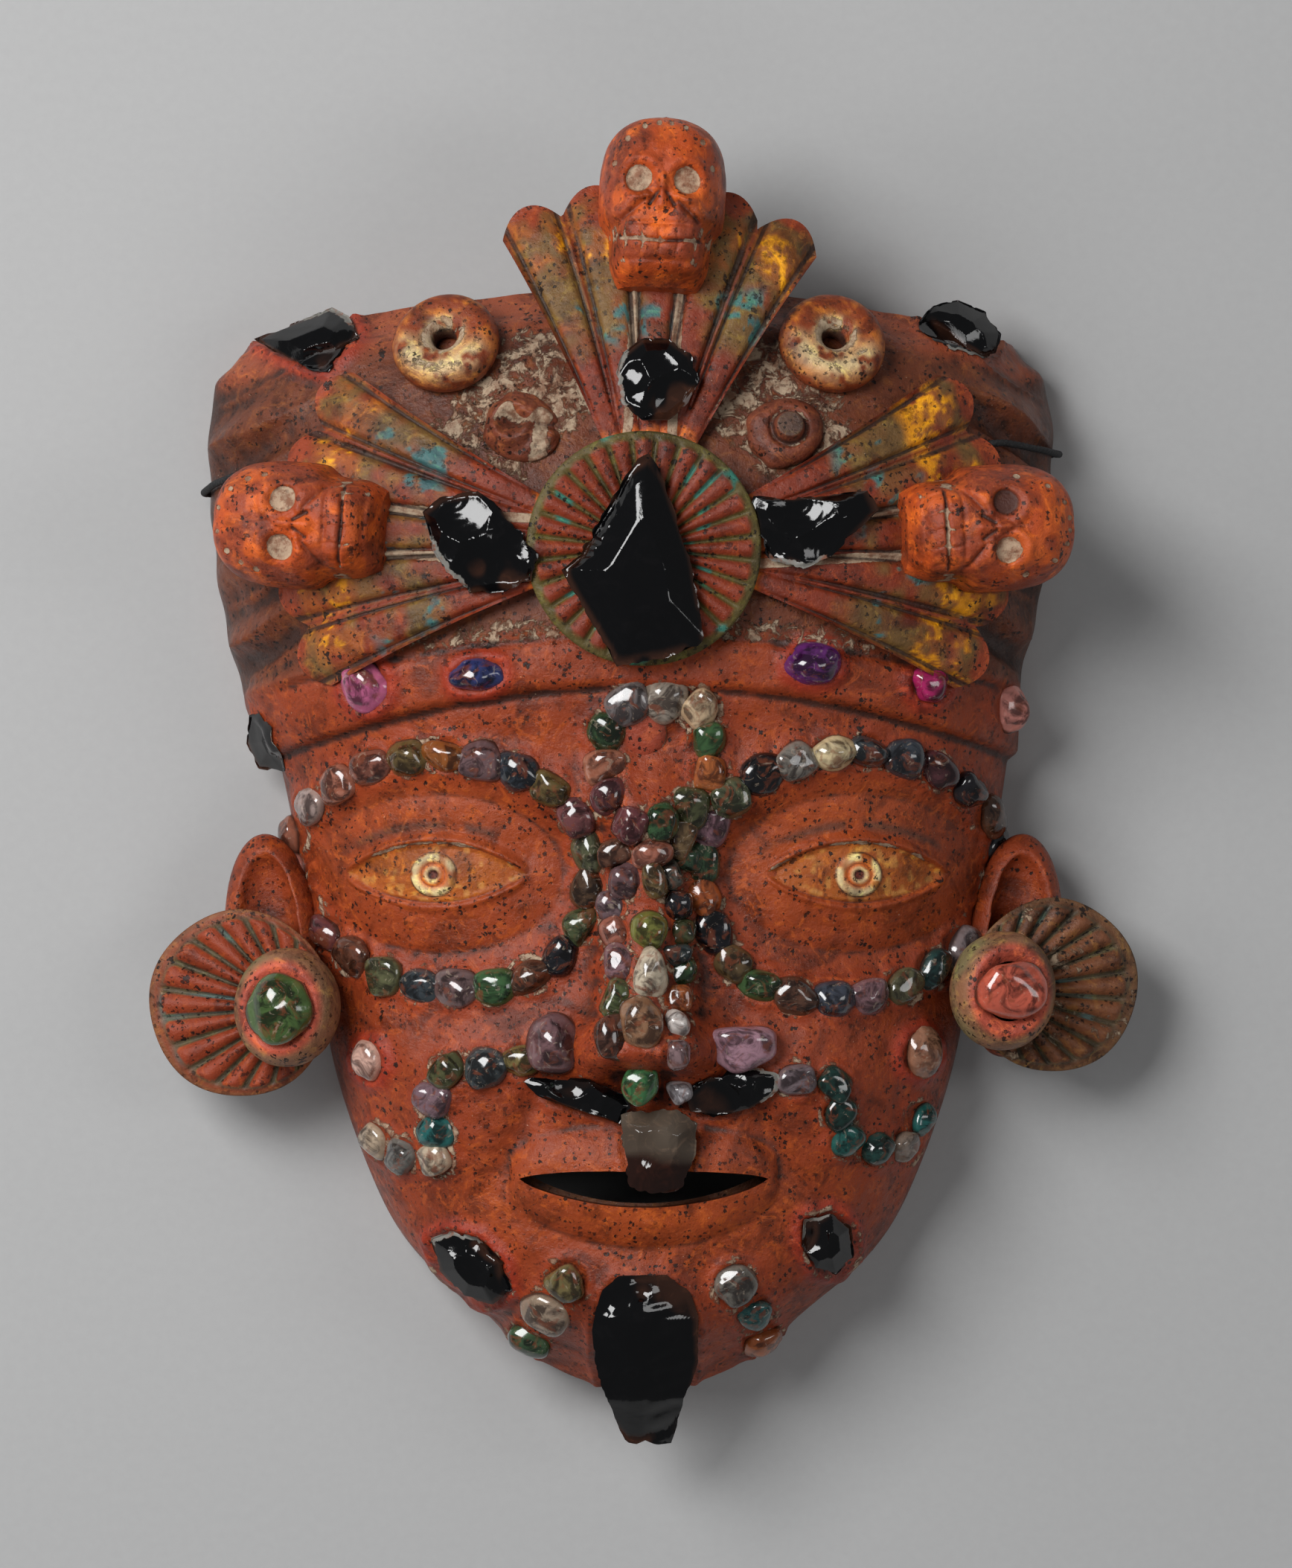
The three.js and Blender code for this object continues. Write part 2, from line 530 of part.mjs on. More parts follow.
// A moulded skull, flat at the back, lying with its jaw at the origin and its crown along +Y.
function skull() {
  const length = SKULL_LENGTH;
  const half = SKULL_WIDTH / 2;
  const columns = 6;
  const rows = 9;
  const outline = [
    [length, 0],
    [length * 0.93, half * 0.62],
    [length * 0.8, half * 0.95],
    [length * 0.64, half],
    [length * 0.5, half * 0.92],
    [length * 0.38, half * 0.78],
    [length * 0.12, half * 0.74],
    [0, half * 0.6],
  ];
  const crest = [
    [length, SKULL_HEIGHT * 0.3],
    [length * 0.88, SKULL_HEIGHT * 0.78],
    [length * 0.7, SKULL_HEIGHT],
    [length * 0.5, SKULL_HEIGHT * 0.9],
    [length * 0.3, SKULL_HEIGHT * 0.94],
    [length * 0.1, SKULL_HEIGHT * 0.86],
    [0, SKULL_HEIGHT * 0.5],
  ];
  const at = (i, j, floor) => {
    const along = length * (1 - (j / rows) ** 1.15);
    const u = Math.sin((Math.PI / 2) * (-1 + (2 * i) / columns));
    const x = u * Math.max(0, through(outline, along));
    const hollow = 3 * bell(along, length * 0.38, 5) * step(0.45, 0.8, Math.abs(u));
    const nose = 1.6 * bell(x, 0, 3.2) * bell(along, length * SKULL_NOSE_SHARE, 5);
    const z = through(crest, along) * (1 - Math.abs(u) ** 3) ** 0.5 - hollow + nose;
    return new THREE.Vector3(x, along, floor ? 0 : Math.max(0.8, z));
  };
  const head = slab(columns, rows, (i, j) => at(i, j, false), (i, j) => at(i, j, true));
  const socket = solid(new THREE.CylinderGeometry(SKULL_EYE_RADIUS, SKULL_EYE_RADIUS * 0.8, 12, 10));
  const eye = (side) =>
    socket.rotate(90, 0, 0).translate(side * half * 0.42, length * SKULL_EYE_SHARE, SKULL_HEIGHT * 0.98);
  const mouth = solid(new THREE.BoxGeometry(SKULL_WIDTH * 0.52, 1.4, 6));
  return head
    .subtract(eye(-1))
    .subtract(eye(1))
    .subtract(mouth.translate(0, length * SKULL_MOUTH_SHARE, SKULL_HEIGHT * 0.95));
}

// Sets a skull on its fan, jaw towards the rosette.
function skullOn(axisDegrees) {
  const axis = rad(axisDegrees);
  const at = (radius) => {
    const [x, y] = [radius * Math.cos(axis), ROSETTE_Y + radius * Math.sin(axis)];
    return new THREE.Vector3(x, y, fanSheetHeight(x, y));
  };
  const jaw = at(SKULL_JAW_RADIUS);
  const crown = at(SKULL_JAW_RADIUS + SKULL_LENGTH * 0.8);
  const up = crown.clone().sub(jaw).normalize();
  const right = new THREE.Vector3(Math.sin(axis), -Math.cos(axis), 0);
  const out = new THREE.Vector3().crossVectors(right, up).normalize();
  const matrix = new THREE.Matrix4().makeBasis(right, up, out).setPosition(jaw.addScaledVector(out, -1.5));
  return skull().transform(matrix.elements);
}

// A fluted disc whose flutes spread from a hub, which need not be at its middle.
function flutedDisc(radius, flutes, thickness, hubX, hubY, fluteDepth) {
  const count = flutes * 2;
  const ring = (share, z, lift) =>
    Array.from({ length: count }, (_, i) => {
      const angle = (2 * Math.PI * i) / count;
      const [x, y] = [radius * Math.cos(angle), radius * Math.sin(angle)];
      const wave = i % 2 ? lift : -lift;
      return new THREE.Vector3(lerp(hubX, x, share), lerp(hubY, y, share), z + wave);
    });
  return stack([ring(0.97, -thickness, 0), ring(1, -thickness * 0.3, 0), ring(0.93, 0, fluteDepth)]);
}

function rosette() {
  const disc = flutedDisc(ROSETTE_RADIUS, ROSETTE_FLUTES, ROSETTE_THICKNESS, 0, 0, 0.6);
  return disc.translate(0, ROSETTE_Y, ROSETTE_Z);
}

// An ear disc, tipped a little outwards so that it faces out and forwards.
const DISC_TIP_DEG = 12;
function earDisc(disc) {
  const side = Math.sign(disc.x);
  const [hubX, hubY] = [disc.hubX - disc.x, disc.hubY - disc.y];
  const shape = flutedDisc(disc.radius, DISC_FLUTES, DISC_THICKNESS, hubX, hubY, 0.8);
  return shape.rotate(0, side * DISC_TIP_DEG, 0).translate(disc.x, disc.y, DISC_Z);
}

function earSpool(disc) {
  const side = Math.sign(disc.x);
  const ring = (scale, z) =>
    Array.from({ length: 12 }, (_, i) => {
      const angle = (2 * Math.PI * i) / 12;
      return new THREE.Vector3(
        SPOOL_RADIUS * 0.92 * scale * Math.cos(angle), SPOOL_RADIUS * 1.08 * scale * Math.sin(angle), z);
    });
  const rings = [
    ring(0.9, 1.4),
    ring(1, SPOOL_HEIGHT * 0.35),
    ring(0.94, SPOOL_HEIGHT * 0.7),
    ring(0.72, SPOOL_HEIGHT),
    ring(0.5, SPOOL_HEIGHT - 1),
  ];
  return stack(rings).rotate(0, side * DISC_TIP_DEG, 0).translate(disc.hubX, disc.hubY, DISC_Z);
}

// A pierced bead, round as a doughnut.
function bead(x, y) {
  const points = Array.from({ length: 6 }, (_, i) => {
    const angle = (2 * Math.PI * i) / 6;
    const middle = (BEAD_RADIUS + BEAD_HOLE_RADIUS) / 2;
    const half = (BEAD_RADIUS - BEAD_HOLE_RADIUS) / 2;
    return new THREE.Vector2(middle + half * Math.cos(angle), (BEAD_THICKNESS / 2) * Math.sin(angle));
  });
  const shape = solid(new THREE.LatheGeometry([...points, points[0]], 12));
  const seat = surface(x, y);
  const centre = seat.point.addScaledVector(seat.normal, BEAD_THICKNESS * 0.32);
  return placed(shape.rotate(90, 0, 0), centre, seat.normal);
}

// The part of a tumbled stone that stands out of the clay: a low dome, fuller at its corners.
function pebble(length, width, height, seed, sides = 5, rings = 1) {
  const ring = (scale, z) =>
    Array.from({ length: sides }, (_, i) => {
      const angle = (2 * Math.PI * (i + 0.5)) / sides;
      const full = 1.06 + 0.07 * noise(seed * 7 + i);
      return new THREE.Vector3(
        (length / 2) * scale * full * Math.cos(angle), (width / 2) * scale * full * Math.sin(angle), z);
    });
  const levels = Array.from({ length: rings + 1 }, (_, i) => (i / (rings + 1)) * 0.82);
  return stack([ring(0.96, 0), ...levels.slice(1).map((t) => ring(Math.sqrt(1 - t * t) * 0.99, height * t)),
    ring(0.55, height * 0.94)]);
}

// A stone set in the clay at x, y: it stands proud of the surface by its raise.
function stone({ x, y, length, width, turn = 0, raise = STONE_RAISE, seed = 1, lean = 0.15, sides = 6 }) {
  const seat = surface(x, y);
  const normal = seat.normal.lerp(new THREE.Vector3(0, 0, 1), lean).normalize();
  const centre = seat.point.addScaledVector(normal, STONE_BASE);
  return placed(pebble(length, width, raise, seed, sides, 0), centre, normal, turn);
}

// A row of stones, fused where each touches the next. Every stone swells between two narrow joints.
function stoneRow(course, width, closed, seed) {
  const count = course.length;
  const at = (i) => course[closed ? (i + count) % count : clamp(i, 0, count - 1)];
  const stations = course.flatMap((_, i) => {
    const size = width * (1 + 0.12 * noise(seed + i));
    const [here, next] = [at(i), at(i + 1)];
    const joint = [(here[0] + next[0]) / 2, (here[1] + next[1]) / 2];
    const middle = { xy: here, way: [at(i - 1), next], size, rise: STONE_RAISE };
    const neck = { xy: joint, way: [here, next], size: size * 0.74, rise: STONE_RAISE * 0.55 };
    return closed || i < count - 1 ? [middle, neck] : [middle];
  });
  if (!closed) {
    const end = (i, k) => at(i).map((v, axis) => v + (v - at(k)[axis]) * 0.42);
    const cap = (i, k, way) => ({ xy: end(i, k), way, size: width * 0.6, rise: STONE_RAISE * 0.5 });
    stations.unshift(cap(0, 1, [at(0), at(1)]));
    stations.push(cap(count - 1, count - 2, [at(count - 2), at(count - 1)]));
  }
  const sections = stations.map(({ xy, way, size, rise }) => {
    const seat = surface(...xy);
    const normal = seat.normal.lerp(new THREE.Vector3(0, 0, 1), 0.15).normalize();
    const along = new THREE.Vector3(way[1][0] - way[0][0], way[1][1] - way[0][1], 0);
    const side = new THREE.Vector3().crossVectors(normal, along).normalize();
    const point = (across, up) =>
      seat.point.clone().addScaledVector(side, across * size).addScaledVector(normal, STONE_BASE + up * rise);
    return [point(-0.5, 0), point(-0.3, 1), point(0.3, 1), point(0.5, 0)];
  });
  return tube(sections, closed);
}

// A solid through sections, closed on itself or capped at both ends.
function tube(sections, closed) {
  const triangles = [];
  const n = sections[0].length;
  sections.forEach((section, s) => {
    const next = sections[(s + 1) % sections.length];
    if (!closed && s === sections.length - 1) return;
    section.forEach((point, i) => {
      const k = (i + 1) % n;
      triangles.push(point, next[i], next[k], point, next[k], section[k]);
    });
  });
  if (!closed) {
    const [first, last] = [sections[0], sections[sections.length - 1]];
    for (let i = 1; i < n - 1; i += 1) {
      triangles.push(first[0], first[i], first[i + 1], last[0], last[i + 1], last[i]);
    }
  }
  const made = fromTriangles(triangles);
  return made.volume() > 0 ? made : fromTriangles(triangles.reverse());
}

// A struck flake of obsidian: its outline lies on a leaning plane, thin at the edge and ridged above.
function flake(points, thickness, height, lean = [0, 0], ridge = 0.45) {
  const outline = THREE.ShapeUtils.isClockWise(points.map(([x, y]) => new THREE.Vector2(x, y)))
    ? [...points].reverse()
    : points;
  const [cx, cy] = [0, 1].map((k) => outline.reduce((sum, p) => sum + p[k], 0) / outline.length);
  const ring = (scale, lift) =>
    outline.map(([x, y]) => {
      const [px, py] = [lerp(cx, x, scale), lerp(cy, y, scale)];
      return new THREE.Vector3(px, py, height + (px - cx) * lean[0] + (py - cy) * lean[1] + lift);
    });
  return stack([
    ring(0.8, -FLAKE_KEEL),
    ring(1, thickness * 0.2),
    ring(ridge, thickness),
  ]);
}

// The course of a ring of stones round an eye: blunt beside the nose, pointed towards the temple.
function ringCourse(ring) {
  const side = Math.sign(ring.x);
  const tilt = rad(side * ring.tilt);
  const fine = Array.from({ length: 180 }, (_, i) => {
    const angle = (2 * Math.PI * i) / 180;
    const [c, s] = [Math.cos(angle), Math.sin(angle)];
    const power = 2 / (c * side > 0 ? RING_OUTER_FULLNESS : RING_INNER_FULLNESS);
    const dx = ring.a * Math.sign(c) * Math.abs(c) ** power;
    const dy = ring.b * Math.sign(s) * Math.abs(s) ** power;
    const [x, y] = [dx * Math.cos(tilt) - dy * Math.sin(tilt), dx * Math.sin(tilt) + dy * Math.cos(tilt)];
    return new THREE.Vector3(ring.x + x, ring.y + y, 0);
  });
  const spaced = new THREE.CatmullRomCurve3(fine, true).getSpacedPoints(ring.stones);
  return spaced.slice(0, ring.stones).map((p) => [p.x, p.y]);
}

// The courses of the other rows: x and y of the middle of each stone.
const NOSE_ROW_RIGHT = [
  [10, -36.5], [11, -44.4], [9.4, -51.3], [11.1, -57], [10.1, -64.4], [9.6, -72.1], [9.8, -80.5],
];
const NOSE_ROW_LEFT = [[-9.8, -36.7], [-8.6, -44.7], [-7.4, -54.2], [-8, -64.7], [-9.4, -76]];
const FOREHEAD_RING = [
  [-4.7, 23.4], [6.5, 24.4], [16.8, 22.5], [19.3, 13.1], [19.6, 3.5], [13.4, -6], [5.4, -9.6],
  [-3.8, -10.1], [-10.5, -2.6], [-11.4, 6], [-11.4, 15.2],
];
const FOREHEAD_ROW = [
  [-8.3, -19.8], [2.2, -19.3], [10.9, -16.3], [13, -22], [8, -27], [2.9, -28.3], [-5.2, -28.4],
];
const MOUSTACHE_ROW_LEFT = [
  [-36.2, -83], [-46.5, -85], [-57.1, -86], [-61.5, -94.5], [-61.2, -103.8], [-61.9, -112.5],
  [-71.7, -111.6], [-80, -107.5],
];
const MOUSTACHE_ROW_RIGHT = [
  [44.6, -88.6], [55.5, -90], [57.4, -98.6], [59.7, -106.8], [69, -109.8], [77.9, -109], [83, -101],
];
const CHIN_ROW_LEFT = [[-22.8, -149], [-29.4, -158], [-33.8, -167]];
const CHIN_ROW_RIGHT = [[27.2, -150], [33, -158.6], [35.2, -167]];

// Single stones: x, y, length, width, turn, raise, colour, and how far it leans to the viewer.
const SINGLE_STONES = {
  brow_band_stone_pink: [-80.2, 30.1, 14, 13.5, 0, 5.5, 0xa8788c],
  brow_band_stone_blue: [-48.3, 32.7, 15.5, 10, 10, 5, 0x2f5878],
  brow_band_stone_purple: [49.4, 36.3, 15, 10.5, 5, 5, 0x6b3a6b],
  brow_band_stone_magenta: [81.8, 30.3, 13, 11, 0, 5, 0x8a2f60],
  brow_band_chip_rose: [103.5, 23.6, 14, 11, -30, 4, 0xc8a8ac, 0.45],
  nose_stone_green_yellow: [2, -44.4, 11, 10, 90, 5, 0x8a8a3c],
  nose_stone_clear: [1.6, -57.8, 14.5, 9.5, 90, 5, 0xb8b8b0],
  nose_stone_smoky: [-0.5, -72.2, 15, 12.5, 90, 5.5, 0x4a352b],
  nose_stone_green: [-1.3, -88.4, 15, 10.5, 90, 6, 0x5c8c50],
  nose_stone_white: [10.6, -91.7, 9.5, 6.5, -40, 4.5, 0xe2ddd2],
  nostril_amethyst_left: [-24.2, -77.2, 19, 17, 0, 8, 0x3c2450],
  nostril_amethyst_right: [25.7, -79.9, 26, 12, 8, 7, 0x4a2a63],
  cheek_stone_left: [-79.8, -83, 11.5, 11.5, 0, 5, 0xc9a79c],
  cheek_stone_right: [80.9, -80.6, 13.5, 12.5, 60, 6, 0xa9a69c],
};

// Obsidian flakes: outline, thickness, lift over the seat, and the lean in x and y.
const FLAKES = {
  obsidian_point_centre: {
    outline: [
      [1.6, 98.7], [-2.9, 96], [-19.9, 67.8], [-24.8, 63.4], [-16.8, 49.7], [-8, 34.5], [6.7, 37],
      [16.3, 40.3], [18.3, 43.5], [14.3, 67.2], [4.5, 95.3],
    ],
    thickness: 8,
    base: ROSETTE_Z,
    rest: 2.6,
  },
  obsidian_flake_top: {
    outline: Array.from({ length: 10 }, (_, i) => {
      const angle = (2 * Math.PI * i) / 10;
      const reach = 12.9 + 0.7 * noise(i + 3);
      return [3.6 + reach * Math.cos(angle), 120.4 + reach * Math.sin(angle)];
    }),
    thickness: 6,
    rest: 3,
    onFan: true,
  },
  obsidian_flake_left: {
    outline: [
      [-66.5, 81.2], [-64.4, 76.1], [-63, 69.4], [-59.7, 63.8], [-52.1, 56], [-38.4, 57.3],
      [-28.6, 62.5], [-27, 67.2], [-35.3, 74.1], [-44.3, 83.7], [-49.4, 87.5], [-60.7, 85.4],
    ],
    thickness: 7,
    rest: 3.2,
    onFan: true,
  },
  obsidian_flake_right: {
    outline: [
      [32.6, 85.9], [31.5, 81.9], [36.9, 66.5], [47.4, 63.8], [54.8, 66.3], [70.2, 81.5],
      [67.5, 87.7], [54, 86], [40.9, 85],
    ],
    thickness: 7,
    rest: 3.2,
    onFan: true,
  },
  obsidian_corner_left: {
    outline: [
      [-118, 134.2], [-108.6, 128.2], [-99.2, 123.7], [-94.1, 122.1], [-89.6, 130.6],
      [-85, 133.3], [-89, 141.1], [-94.1, 143.8], [-108.6, 138],
    ],
    thickness: 6,
    rest: 2.5,
  },
  obsidian_corner_right: {
    outline: [
      [82.8, 139], [83.4, 132.5], [90, 127.4], [99, 126.9], [107, 129.5], [108.2, 136],
      [104, 142.6], [95, 146.2], [87, 144.6],
    ],
    thickness: 6,
    rest: 2.5,
  },
  obsidian_side_left: {
    outline: [
      [-119.6, 20.5], [-120.5, 12], [-117, 4.4], [-109, 2.8], [-103.4, 6], [-102.6, 14],
      [-106, 21.5], [-113, 23.1],
    ],
    thickness: 6,
    rest: 2.5,
  },
  obsidian_flake_chin: {
    outline: [
      [-9.2, -147.2], [-13.6, -153.5], [-15.6, -164], [-14.6, -176], [-10.5, -188], [-5.4, -199.4],
      [8.5, -199.7], [9.6, -197], [12.4, -188], [16.4, -174], [16.5, -160], [14, -152.5],
      [7.2, -147.2],
    ],
    thickness: 9,
    rest: 11,
    lean: [0, 0.5],
  },
  obsidian_jaw_left: {
    outline: [
      [-64.4, -137], [-61.5, -147], [-54, -155.4], [-45.5, -157], [-39.6, -152.5], [-42, -144],
      [-49, -136.8], [-57.5, -134.4],
    ],
    thickness: 6,
    rest: 1.5,
  },
  obsidian_jaw_right: {
    outline: [
      [48, -131], [47.4, -139], [51.6, -146.6], [58, -148.1], [63.5, -143], [62.6, -133.5], [56, -128.4],
    ],
    thickness: 6,
    rest: 1.5,
  },
  obsidian_blade_left: {
    outline: [
      [-36.4, -89.3], [-32.2, -93.5], [-15.4, -99.6], [-6.9, -102], [-3.8, -96.9], [-5.8, -93.1],
      [-17.2, -88.2], [-34, -87.9],
    ],
    thickness: 5,
    rest: 3,
  },
  obsidian_blade_right: {
    outline: [
      [12.1, -93], [13, -98.6], [21, -100], [32, -97.6], [41.3, -92], [40.4, -86.2], [30, -84.4],
      [18, -87],
    ],
    thickness: 5,
    rest: 3,
  },
  obsidian_pendant: {
    outline: [
      [-7.4, -99], [-6.6, -110], [-4.5, -121], [2, -123.5], [12.3, -121.5], [15.6, -111],
      [16.1, -101.5], [10, -97.4], [0, -97.1],
    ],
    thickness: 6,
    rest: 3.2,
  },
};

const part = new THREE.Group();
const seats = [dome(SEAT_GAP), ...modelled.map((shape) => grown(shape.hull()))];
const meets = (a, b) => [0, 1, 2].every((k) => a.min[k] < b.max[k] && b.min[k] < a.max[k]);

// Adds a piece as one node, cut to sit on the pieces it rests on. It then carries what comes after.
function add(name, shape, color, roughness = 0.8, grow = grown) {
  const box = shape.boundingBox();
  const below = grow ? seats.filter((seat) => meets(seat.boundingBox(), box)) : [];
  const cut = below.reduce((rest, seat) => rest.subtract(seat), shape);
  const largest = cut.decompose().sort((a, b) => b.volume() - a.volume())[0];
  const kept = largest.simplify(SIMPLE);
  const mesh = kept.getMesh();
  const geometry = new THREE.BufferGeometry();
  geometry.setAttribute("position", new THREE.BufferAttribute(mesh.vertProperties, 3));
  geometry.setIndex(new THREE.BufferAttribute(mesh.triVerts, 1));
  const node = new THREE.Mesh(geometry, new THREE.MeshStandardMaterial({ color, roughness, metalness: 0 }));
  node.name = name;
  part.add(node);
  if (grow) seats.push(grow(kept));
}

const CLAY = 0x96492f;
const OBSIDIAN = 0x0d0d0f;
const AXES = { top: 87, left: 176, right: 3.5 };

add("mask_shell", maskShell, CLAY, 0.8, null);
add("ear_disc_left", earDisc(DISC_LEFT), CLAY, 0.8, wrapped);
add("ear_disc_right", earDisc(DISC_RIGHT), CLAY, 0.8, wrapped);
add("ear_spool_left", earSpool(DISC_LEFT), CLAY);
add("ear_spool_right", earSpool(DISC_RIGHT), CLAY);
Object.entries(AXES).forEach(([side, axis]) => add(`feather_fan_${side}`, fan(axis), CLAY, 0.8, lifted));
Object.entries(AXES).forEach(([side, axis]) => add(`skull_${side}`, skullOn(axis), CLAY));
add("rosette_disc", rosette(), CLAY, 0.8, wrapped);
add("pierced_bead_left", bead(-HEADDRESS_HALF_LEFT * 0.4485, TOP_Y - BEAD_TOP_MARGIN), CLAY);
add("pierced_bead_right", bead(HEADDRESS_HALF_RIGHT * 0.4541, TOP_Y - BEAD_TOP_MARGIN), CLAY);
Object.entries(FLAKES).forEach(([name, { outline, thickness, base, rest, onFan, lean }]) => {
  const [cx, cy] = [0, 1].map((k) => outline.reduce((sum, p) => sum + p[k], 0) / outline.length);
  const seat = surface(cx, cy);
  const under = base || (onFan ? fanSheetHeight(cx, cy) : seat.point.z);
  const fall = base ? 0 : FLAKE_LEAN / seat.normal.z;
  const slope = (lean || [-fall * seat.normal.x, -fall * seat.normal.y]).map((k) => clamp(k, -0.9, 0.9));
  add(name, flake(outline, thickness, under + rest, slope), OBSIDIAN, 0.1, wrapped);
});
Object.entries(SINGLE_STONES).forEach(([name, sizes], i) => {
  const [x, y, length, width, turn, raise, color, lean] = sizes;
  add(name, stone({ x, y, length, width, turn, raise, lean, seed: i, sides: 8 }), color, 0.25);
});

function spoolStone(disc, length, width, turn) {
  const side = Math.sign(disc.x);
  const shape = pebble(length, width, 6.5, 4, 10, 2).rotate(0, 0, turn);
  const lift = SPOOL_HEIGHT + 2 * SEAT_GAP;
  const tipped = shape.translate(0, 0, lift).rotate(0, side * DISC_TIP_DEG, 0);
  return tipped.translate(disc.hubX, disc.hubY, DISC_Z);
}
add("spool_stone_green", spoolStone(DISC_LEFT, 20, 19, 0), 0x35603c, 0.2);
add("spool_stone_coral", spoolStone(DISC_RIGHT, 20.5, 18, 0), 0xa83a2c, 0.3);

const ROWS = {
  eye_ring_stones_left: [ringCourse(RING_LEFT), STONE_WIDTH, true, 0x4c4440],
  eye_ring_stones_right: [ringCourse(RING_RIGHT), STONE_WIDTH, true, 0x43443f],
  nose_side_stones_left: [NOSE_ROW_LEFT, STONE_WIDTH - 1, false, 0x8d7f8c],
  nose_side_stones_right: [NOSE_ROW_RIGHT, STONE_WIDTH - 1.5, false, 0x86705c],
  forehead_ring_stones: [FOREHEAD_RING, STONE_WIDTH + 1, true, 0x6e6a68],
  forehead_row_stones: [FOREHEAD_ROW, STONE_WIDTH, false, 0x77706a],
  moustache_stones_left: [MOUSTACHE_ROW_LEFT, STONE_WIDTH, false, 0x4f6a68],
  moustache_stones_right: [MOUSTACHE_ROW_RIGHT, STONE_WIDTH, false, 0x2f4f4a],
  chin_stones_left: [CHIN_ROW_LEFT, STONE_WIDTH + 2, false, 0x66704c],
  chin_stones_right: [CHIN_ROW_RIGHT, STONE_WIDTH + 2, false, 0x8a6a3c],
};
Object.entries(ROWS).forEach(([name, [course, width, closed, color]], i) =>
  add(name, stoneRow(course, width, closed, 11 * i + 3), color, 0.25));

// The cord comes out of the clay under each side fan, lies over the clay to the rim, and goes through
// the notches behind the shell.
const CORD_ROUTE = [
  [-110, 93.8, 46.2],
  [-112.6, 94, 47.6],
  [-116.2, 94, 47.2],
  [-119.4, 93.5, 43.9],
  [-122.5, 92.9, 40.2],
  [-125.8, 91.8, 35.9],
  [-128.7, 90.9, 29.6],
  [-130.5, 90.1, 24.5],
  [-131.8, 89.3, 19.4],
  [-133, 88.6, 14.2],
  [-133.5, 88.2, 10.2],
  [-132.8, 88, 6.4],
  [-129.6, 88, 3],
  [-122, 87.8, 1.5],
  [-104, 86, 1.2],
  [-55, 81, 1.2],
  [0, 81, 1.2],
  [50, 87, 1.2],
  [97, 97, 1.2],
  [114, 99.8, 1.5],
  [122, 100, 3],
  [125.3, 100, 6.4],
  [126.1, 99.9, 10.2],
  [125.6, 99.9, 14.2],
  [124.4, 100, 19.5],
  [122.7, 100.3, 24.7],
  [120.6, 100.7, 29.3],
  [117.6, 101.1, 33.8],
  [114.4, 101.7, 38.4],
  [111.5, 102.1, 41.8],
  [108.5, 102.5, 45.2],
  [105.6, 102.3, 48.2],
  [103.2, 101.9, 48.6],
  [101, 101.4, 47],
];
function cord() {
  const way = CORD_ROUTE.map((point) => new THREE.Vector3(...point));
  const path = new THREE.CatmullRomCurve3(way, false, "centripetal");
  const section = new THREE.Shape().absarc(0, 0, CORD_DIAMETER / 2, 0, 2 * Math.PI, false);
  const options = { steps: CORD_STEPS, curveSegments: 3, extrudePath: path, bevelEnabled: false };
  const whole = solid(new THREE.ExtrudeGeometry(section, options));
  const hole = solid(new THREE.BoxGeometry(12, 14, 30));
  const holes = [way[0], way[way.length - 1]].map((end) => hole.translate(end.x, end.y, end.z));
  return whole.subtract(dome(SEAT_GAP).intersect(joined(holes)));
}
add("hanging_cord", cord(), 0x111111, 0.7, null);

export default part;
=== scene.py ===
# Looks for a fired-clay mask with a feathered headdress, tumbled stones and struck obsidian.
# Lengths are millimetres in the CAD frame (+X right, +Y to the crown, +Z out of the face).
# Every mesh is scaled to metres when it is made.
import math

import bpy
import numpy as np
from mathutils import Matrix, Vector
from mathutils.bvhtree import BVHTree


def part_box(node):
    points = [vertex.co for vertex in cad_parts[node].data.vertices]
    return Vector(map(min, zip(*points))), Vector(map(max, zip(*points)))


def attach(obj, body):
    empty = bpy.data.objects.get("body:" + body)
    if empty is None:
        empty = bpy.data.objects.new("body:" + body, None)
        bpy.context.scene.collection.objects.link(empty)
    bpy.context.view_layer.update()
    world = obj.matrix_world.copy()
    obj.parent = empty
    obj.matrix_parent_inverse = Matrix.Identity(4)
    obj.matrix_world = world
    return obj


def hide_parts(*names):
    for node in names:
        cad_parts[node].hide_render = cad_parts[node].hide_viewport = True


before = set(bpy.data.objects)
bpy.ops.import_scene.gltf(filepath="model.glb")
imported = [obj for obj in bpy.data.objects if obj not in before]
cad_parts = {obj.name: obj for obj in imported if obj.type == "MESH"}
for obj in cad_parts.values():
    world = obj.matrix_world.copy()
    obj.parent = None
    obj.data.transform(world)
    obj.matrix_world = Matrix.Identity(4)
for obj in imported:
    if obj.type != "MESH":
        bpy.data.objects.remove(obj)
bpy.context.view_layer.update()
scene = bpy.context.scene

MM = 0.001
PHOTO_WIDTH = 1736
PHOTO_HEIGHT = 2107
MM_PER_PIXEL = 0.2235
ORIGIN_PIXEL = (865, 1052.5)


# Camera, straight above the mask, as the photograph looks at it.
CAMERA_HEIGHT = 4000
FOCUS_HEIGHT = 55
SENSOR_HEIGHT = 24
SIGHT_METRES = 20


